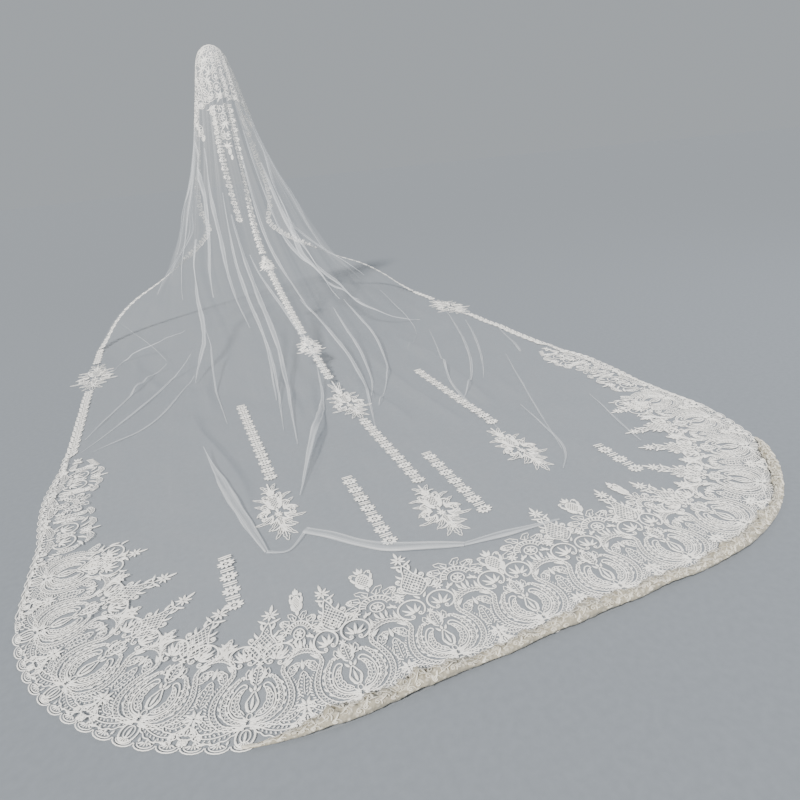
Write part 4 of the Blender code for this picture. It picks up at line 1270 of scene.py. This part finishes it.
def make_crown_lace(cloth, material):
    """Dense scrolls over the head, down to a scalloped edge, with a fan and a small tail below it."""
    layout = Layout()
    shapes = draw_crown_shapes()
    rows = np.linspace(0.05, 3.22, 200)
    back = cloth.at(0.0, rows)[0]
    run = run_along(back)
    for number, spot in enumerate(np.arange(0.020, run[-1], CAP_STEP)):
        row = float(np.interp(spot, run, rows))
        round_head = cloth.at(np.linspace(-1, 1, 200), row)[0]
        count = max(5, int(round(run_along(round_head)[-1] / CAP_PITCH)))
        for i in range(count):
            drift = 0.3 * math.sin(3.7 * i + 2.3 * number)
            across = -1 + 2 * (i + (0.75 if number % 2 else 0.25) + 0.25 * drift) / count
            if abs(across) > 0.975:
                continue
            shape = shapes[(i * 3 + number * 2 + (i * number) % 3) % 4]
            lower = min(max(row + 0.10 * drift, 0.12), 3.24)
            turn = 50 * math.sin(2.1 * i + 1.3 * number)
            layout.lay(shape, by_cloth(cloth, across, lower, 0.95, 0.95, turn))
    for lobe in range(CAP_LOBES):
        across = -1 + 2 * (lobe + 0.5) / CAP_LOBES
        edge = Lace()
        turn = np.radians(np.linspace(10, 170, 9))
        width = cloth.scale_at(across, 3.2)[0] * 1000 / CAP_LOBES
        for share in (1.0, 0.66):
            arc = np.column_stack((width * share * np.cos(turn), 14 - 34 * share * np.sin(turn)))
            edge.thread(arc, 4.4)
        for heading in (-140, -115, -90, -65, -40):
            edge.petal(0, 12, heading, 29, 8)
        layout.lay(edge, by_cloth(cloth, across, 3.18))
    scroll_shape, leaf_shape, star_shape, fan_shape = shapes
    # column from the centre back, row, size and turn of each shape in the fan and the tail
    for column, row, size, turn, shape in (
            (6.2, 3.58, 1.00, 160, fan_shape), (2.8, 3.60, 1.05, 185, scroll_shape),
            (-0.6, 3.60, 1.00, 200, leaf_shape), (5.0, 3.86, 1.00, 20, leaf_shape),
            (1.6, 3.88, 1.10, -30, star_shape), (4.2, 4.12, 1.00, 20, scroll_shape),
            (0.4, 4.14, 1.05, 170, fan_shape), (2.9, 4.36, 0.95, 10, leaf_shape),
            (0.6, 4.42, 0.95, 160, scroll_shape), (1.8, 4.64, 0.85, 10, fan_shape),
            (1.3, 4.86, 0.70, 5, leaf_shape), (1.0, 5.04, 0.50, 5, leaf_shape),
            (19.5, 3.40, 1.10, 30, fan_shape), (17.2, 3.62, 1.05, 24, leaf_shape),
            (15.4, 3.84, 0.95, 30, star_shape), (14.2, 4.02, 0.80, 20, leaf_shape),
            (13.2, 4.20, 0.62, 10, leaf_shape)):
        layout.lay(shape, by_cloth(cloth, column / CENTRE, row, size, size, turn))
    return layout.mesh("crown_lace_scrolls", material, "crown_lace")


def roll_place(cloth, along, angle, swell):
    """A point on the turned-up edge, by its run along the hem and its turn round the roll."""
    wide = ROLL_WIDTH * swell * (0.5 + 0.5 * np.cos(angle)) - ROLL_PAST
    high = ROLL_HEIGHT * swell * (0.42 + 0.42 * np.sin(angle) + 0.10 * np.sin(2 * angle + 40 * along))
    points, _ = cloth.on_floor(*hem_places(along, wide))
    points[:, 2] += ROLL_LIFT + np.maximum(high, 0.0)
    return points


def roll_swell(share):
    swell = ease(np.minimum(share, 1 - share) * 14) * 0.75 + 0.25
    swell = swell * (0.86 + 0.16 * np.sin(23 * share + 1) + 0.10 * np.sin(57 * share))
    return swell * (1 + 0.08 * np.sin(131 * share + 1) + 0.06 * np.sin(310 * share))


def make_hem_roll(cloth, material):
    """The turned-up edge of the back hem: crumpled cloth with its cords on the outside."""
    steps, sides = 900, 18
    share = np.linspace(0, 1, steps)
    along = ROLL_FROM + (ROLL_TO - ROLL_FROM) * share
    swell = roll_swell(share)
    places = []
    for angle in np.linspace(0, 2 * math.pi, sides, endpoint=False):
        bump = 0.08 * np.sin(420 * share + 5 * angle) + 0.07 * np.sin(731 * share + 9 * angle)
        bump += 0.09 * np.sin(190 * share - 3 * angle)
        places.append(roll_place(cloth, along, angle, swell * (0.93 + bump)))
    item = make_mesh("hem_roll_cloth", np.concatenate(places), grid_faces(0, sides, steps), material)
    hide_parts("hem_roll")
    return item


def make_roll_cords(cloth, material):
    """Scallops and curls of the lace edge, folded up round the roll."""
    layout = Layout()
    drawing = Lace()
    length = (ROLL_TO - ROLL_FROM) * 1000
    count = int(length / ROLL_CURLS)
    for i in range(count):
        u = (i + 0.5) * length / count
        lean = 30 * math.sin(2.3 * i)
        drawing.curl(u, 6 + 4 * math.sin(1.7 * i), 60 + lean, 46, 0.010, 0.060, 2.6)
        drawing.curl(u + 9, 52 + 5 * math.sin(2.9 * i), -100 - lean, 44, 0.008, 0.055, 2.6)
        drawing.petal(u + 4, 20 + 5 * math.sin(i), 120 + lean, 17, 5)
        drawing.petal(u + 12, 36 + 5 * math.cos(i), 30 - lean, 17, 5)
        drawing.ring(u + 6, 30 + 6 * math.sin(3.1 * i), 4.5, 4.5, 2.2)

    def place(u, v):
        share = np.clip(u / length, 0, 1)
        along = ROLL_FROM + (ROLL_TO - ROLL_FROM) * share
        angle = math.radians(-20) + v / ROLL_DRAWN * math.radians(200)
        points = roll_place(cloth, along, angle, roll_swell(share))
        inner = roll_place(cloth, along, angle, roll_swell(share) * 0.8)
        outward = points - inner + (0, 0, 1e-4)
        return points, outward / np.linalg.norm(outward, axis=1, keepdims=True)

    layout.lay(drawing, place)
    return layout.mesh("hem_roll_cords", material, "hem_roll", 0.0004)


# Camera, light and floor

def make_camera():
    """The photograph's viewpoint, fitted to the hem, the strips and the crown."""
    yaw, pitch, roll = 3.491, -0.396, -0.105
    place = Vector((0.561, 4.407, 0.926 - CROWN_HEIGHT))
    flat = math.cos(pitch)
    forward = Vector((math.sin(yaw) * flat, math.cos(yaw) * flat, math.sin(pitch)))
    level = forward.cross(Vector((0, 0, 1))).normalized()
    above = level.cross(forward)
    right = level * math.cos(roll) + above * math.sin(roll)
    up = above * math.cos(roll) - level * math.sin(roll)
    data = bpy.data.cameras.new("photo_camera")
    data.sensor_width = 36
    data.lens = 26.04
    camera = bpy.data.objects.new("photo_camera", data)
    turned = Matrix((right, up, -forward)).transposed().to_4x4()
    camera.matrix_world = Matrix.Translation(place) @ turned
    bpy.context.scene.collection.objects.link(camera)
    bpy.context.scene.camera = camera


def add_light(name, kind, place, way, power, code, **settings):
    """A light at a place that shines one way."""
    data = bpy.data.lights.new(name, kind)
    data.energy, data.color = power, linear(code)[:3]
    for setting, value in settings.items():
        setattr(data, setting, value)
    item = bpy.data.objects.new(name, data)
    item.location = place
    item.rotation_euler = Vector(way).to_track_quat("-Z", "Y").to_euler()
    bpy.context.scene.collection.objects.link(item)


def make_studio():
    bpy.ops.object.select_all(action="DESELECT")
    bpy.ops.mesh.primitive_circle_add(vertices=96, radius=60, fill_type="NGON",
                                      location=(0, 2, -CROWN_HEIGHT - 0.001))
    floor = bpy.context.object
    floor.name = "studio_floor"
    floor.data.materials.append(studio_floor())
    world = bpy.data.worlds.new("studio_air")
    world.use_nodes = True
    air = world.node_tree
    connect(air, air.nodes["Background"], Color=linear("#E3EAF0"), Strength=0.53)
    bpy.context.scene.world = world
    add_light("soft_sun", "SUN", (0, 0, 0), (-0.62, -0.50, -0.80), 6.4, "#FFFBF5",
              angle=math.radians(9))
    add_light("fill", "AREA", (-3.4, 4.2, 1.6), (3.4, -2.0, -3.1), 60, "#F2F6FF", size=2.4)
    bpy.context.scene.cycles.transparent_max_bounces = 24


def main():
    make_camera()
    make_studio()
    cloth = Cloth()
    lace = lace_thread("mercerised_cotton_cord", "#FFFEFA", "#F6F3EC", 0.50)
    # painted shade: the cords on the roll are a darker copy of the lace cord, for the shade inside the
    # crumpled roll
    shaded_roll_cord = lace_thread("roll_cord_painted_shade", "#E9E4D6", "#CFC9B9", 0.60)
    tulle = make_tulle(cloth, soft_tulle())
    folds = make_folds(cloth, folded_tulle())
    pieces = make_hem_lace(cloth, lace) + make_strips(cloth, lace) + make_motifs(cloth, lace)
    pieces.append(make_crown_lace(cloth, lace))
    roll = [make_hem_roll(cloth, rolled_lace()), make_roll_cords(cloth, shaded_roll_cord)]
    for slot, items in (("tulle", [tulle, folds]), ("rolled_edge", roll), ("lace", pieces)):
        for item in items:
            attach(item, "root")
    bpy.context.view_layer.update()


main()
